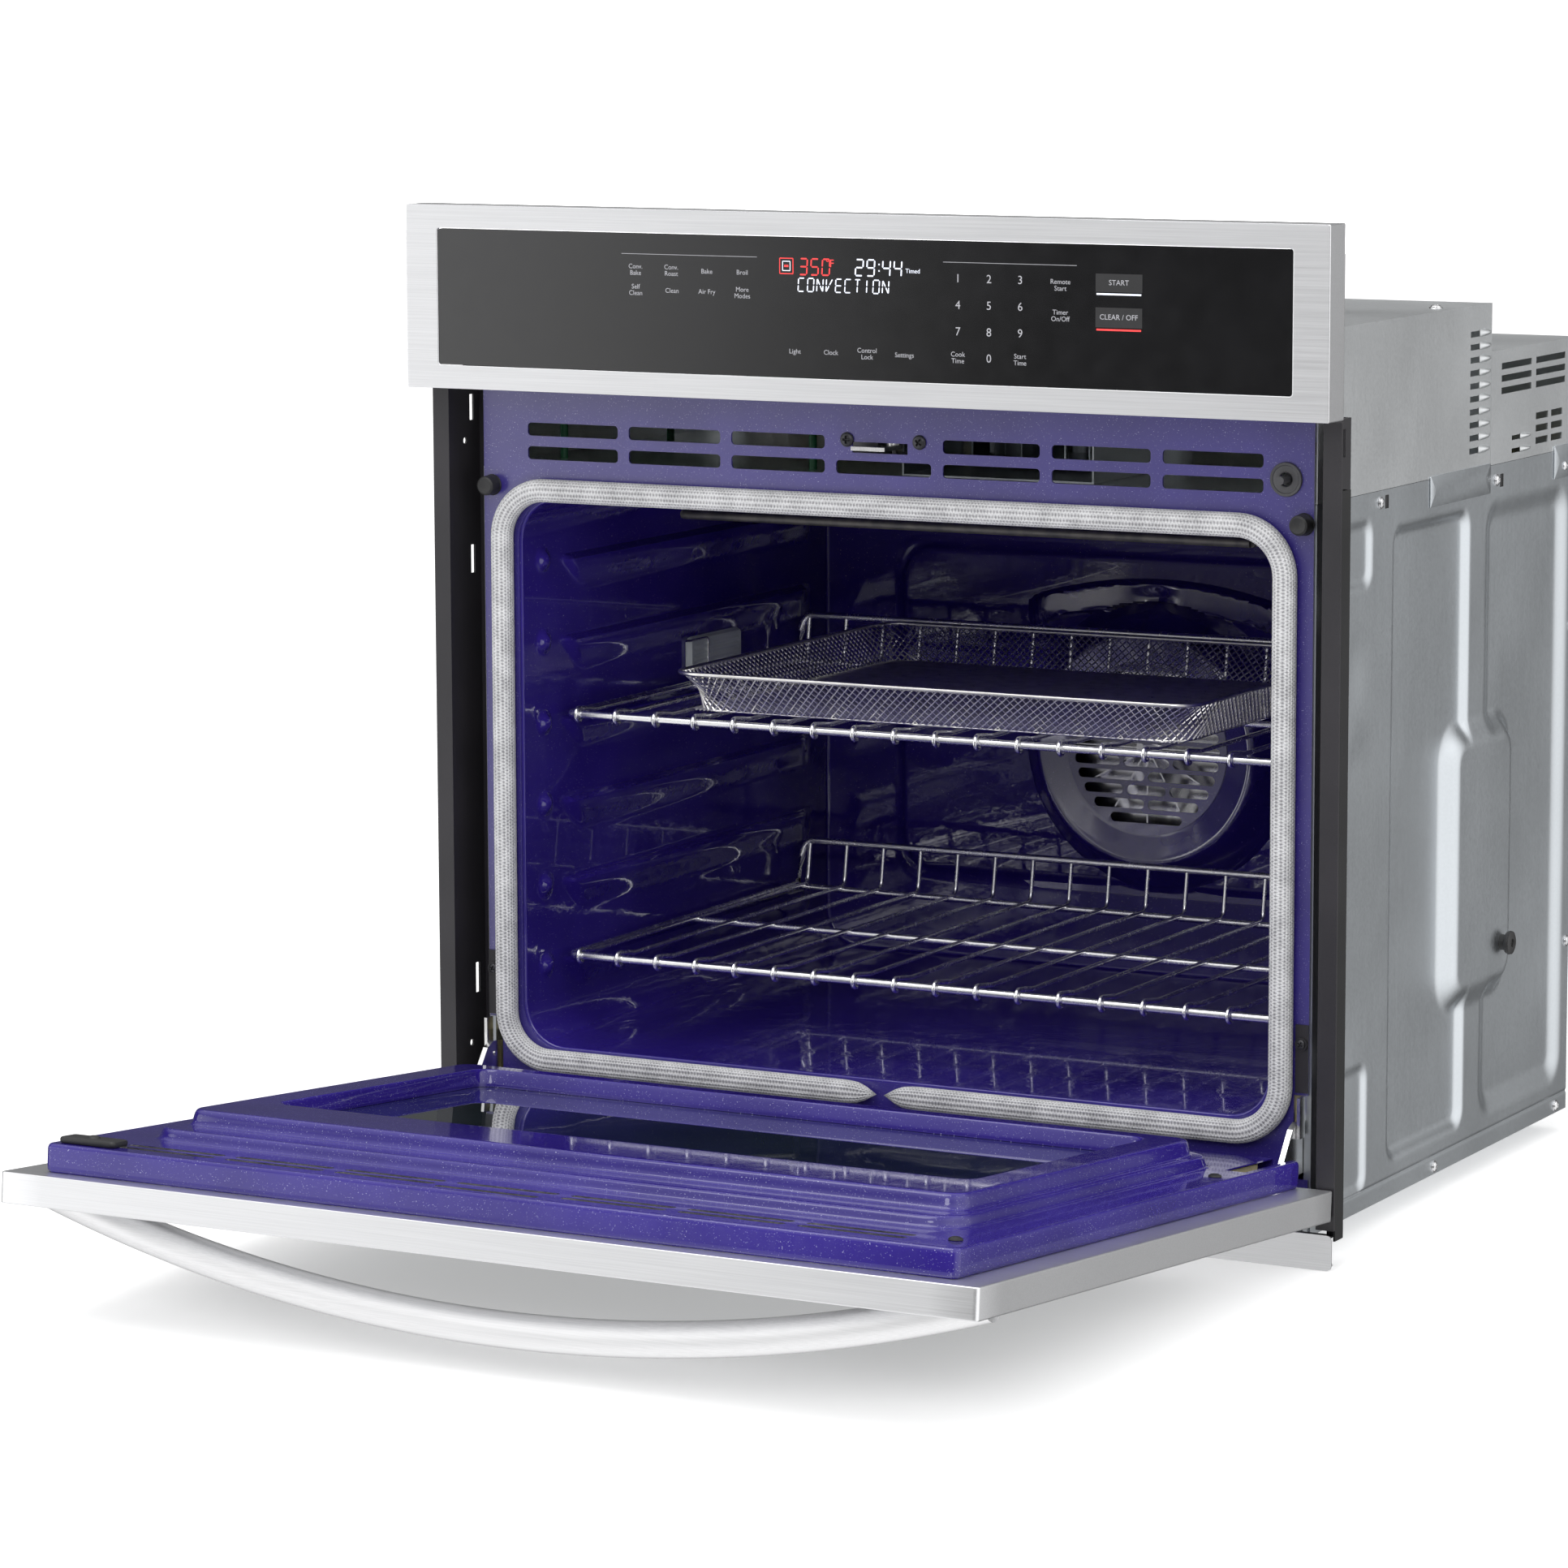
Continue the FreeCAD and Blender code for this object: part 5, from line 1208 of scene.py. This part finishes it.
left_screen = toward(-0.82, -0.57, 0.02, 0.862, 0.925)
right_screen = toward(0.97, 0.12, 0.05, 0.40, 0.97)
ceiling = toward(0, -0.15, 1, 0.25, 0.80)
front = toward(0.1, -1, 0.55, 0.72, 0.98)
below = toward(-0.1, -0.3, -1, 0.32, 0.85)
glow = left_screen * 1.42 + right_screen * 1.25 + ceiling * 1.05 + front * 0.25 + below * 1.0 + 0.08
seen = studio.nodes.new("ShaderNodeLightPath").outputs["Is Camera Ray"]
level = glow + Paint(studio, seen) * 4.0
studio.links.new(level.socket, backdrop.inputs["Strength"])
backdrop.inputs["Color"].default_value = (1, 1, 1, 1)


# %% Soft lamps and the floor
def soft_lamp(name, place, aim, size, watts):
    lamp = bpy.data.lights.new(name, "AREA")
    lamp.shape, lamp.size, lamp.energy = "DISK", size, watts
    item = bpy.data.objects.new(name, lamp)
    item.location = place
    item.rotation_euler = (Vector(aim) - Vector(place)).to_track_quat("-Z", "Y").to_euler()
    scene.collection.objects.link(item)


soft_lamp("overhead", (-0.4, -1.2, 3.2), (0, 0, 0.2), 2.6, 44)
soft_lamp("fill", (0.9, -3.6, 1.9), (0, 0.2, 0.3), 1.4, 20)

FLOOR_LEVEL = cad_low[2] - 0.0005
floor_points = np.array([[[x, y, FLOOR_LEVEL * 1000] for x in (-9000, 9000)] for y in (-9000, 12000)], float)
pale = grained("pale_floor", (0.90, 0.90, 0.90), (0.93, 0.93, 0.93), 0.62, 60.0, 0.02,
               Emission_Color=(1, 1, 1, 1), Emission_Strength=0.35)
mesh = bpy.data.meshes.new("studio_floor")
mesh.from_pydata((floor_points.reshape(-1, 3) * 0.001).tolist(), [], [(0, 1, 3, 2)])
mesh.materials.append(pale)
floor = bpy.data.objects.new("studio_floor", mesh)
scene.collection.objects.link(floor)
floor.visible_glossy = False
floor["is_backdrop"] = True

# %% Write the sizes and finish
low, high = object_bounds()
print("CAD box", [round(v, 4) for v in (*cad_low, *cad_high)])
print("visual box", [round(v, 4) for v in (*low, *high)])
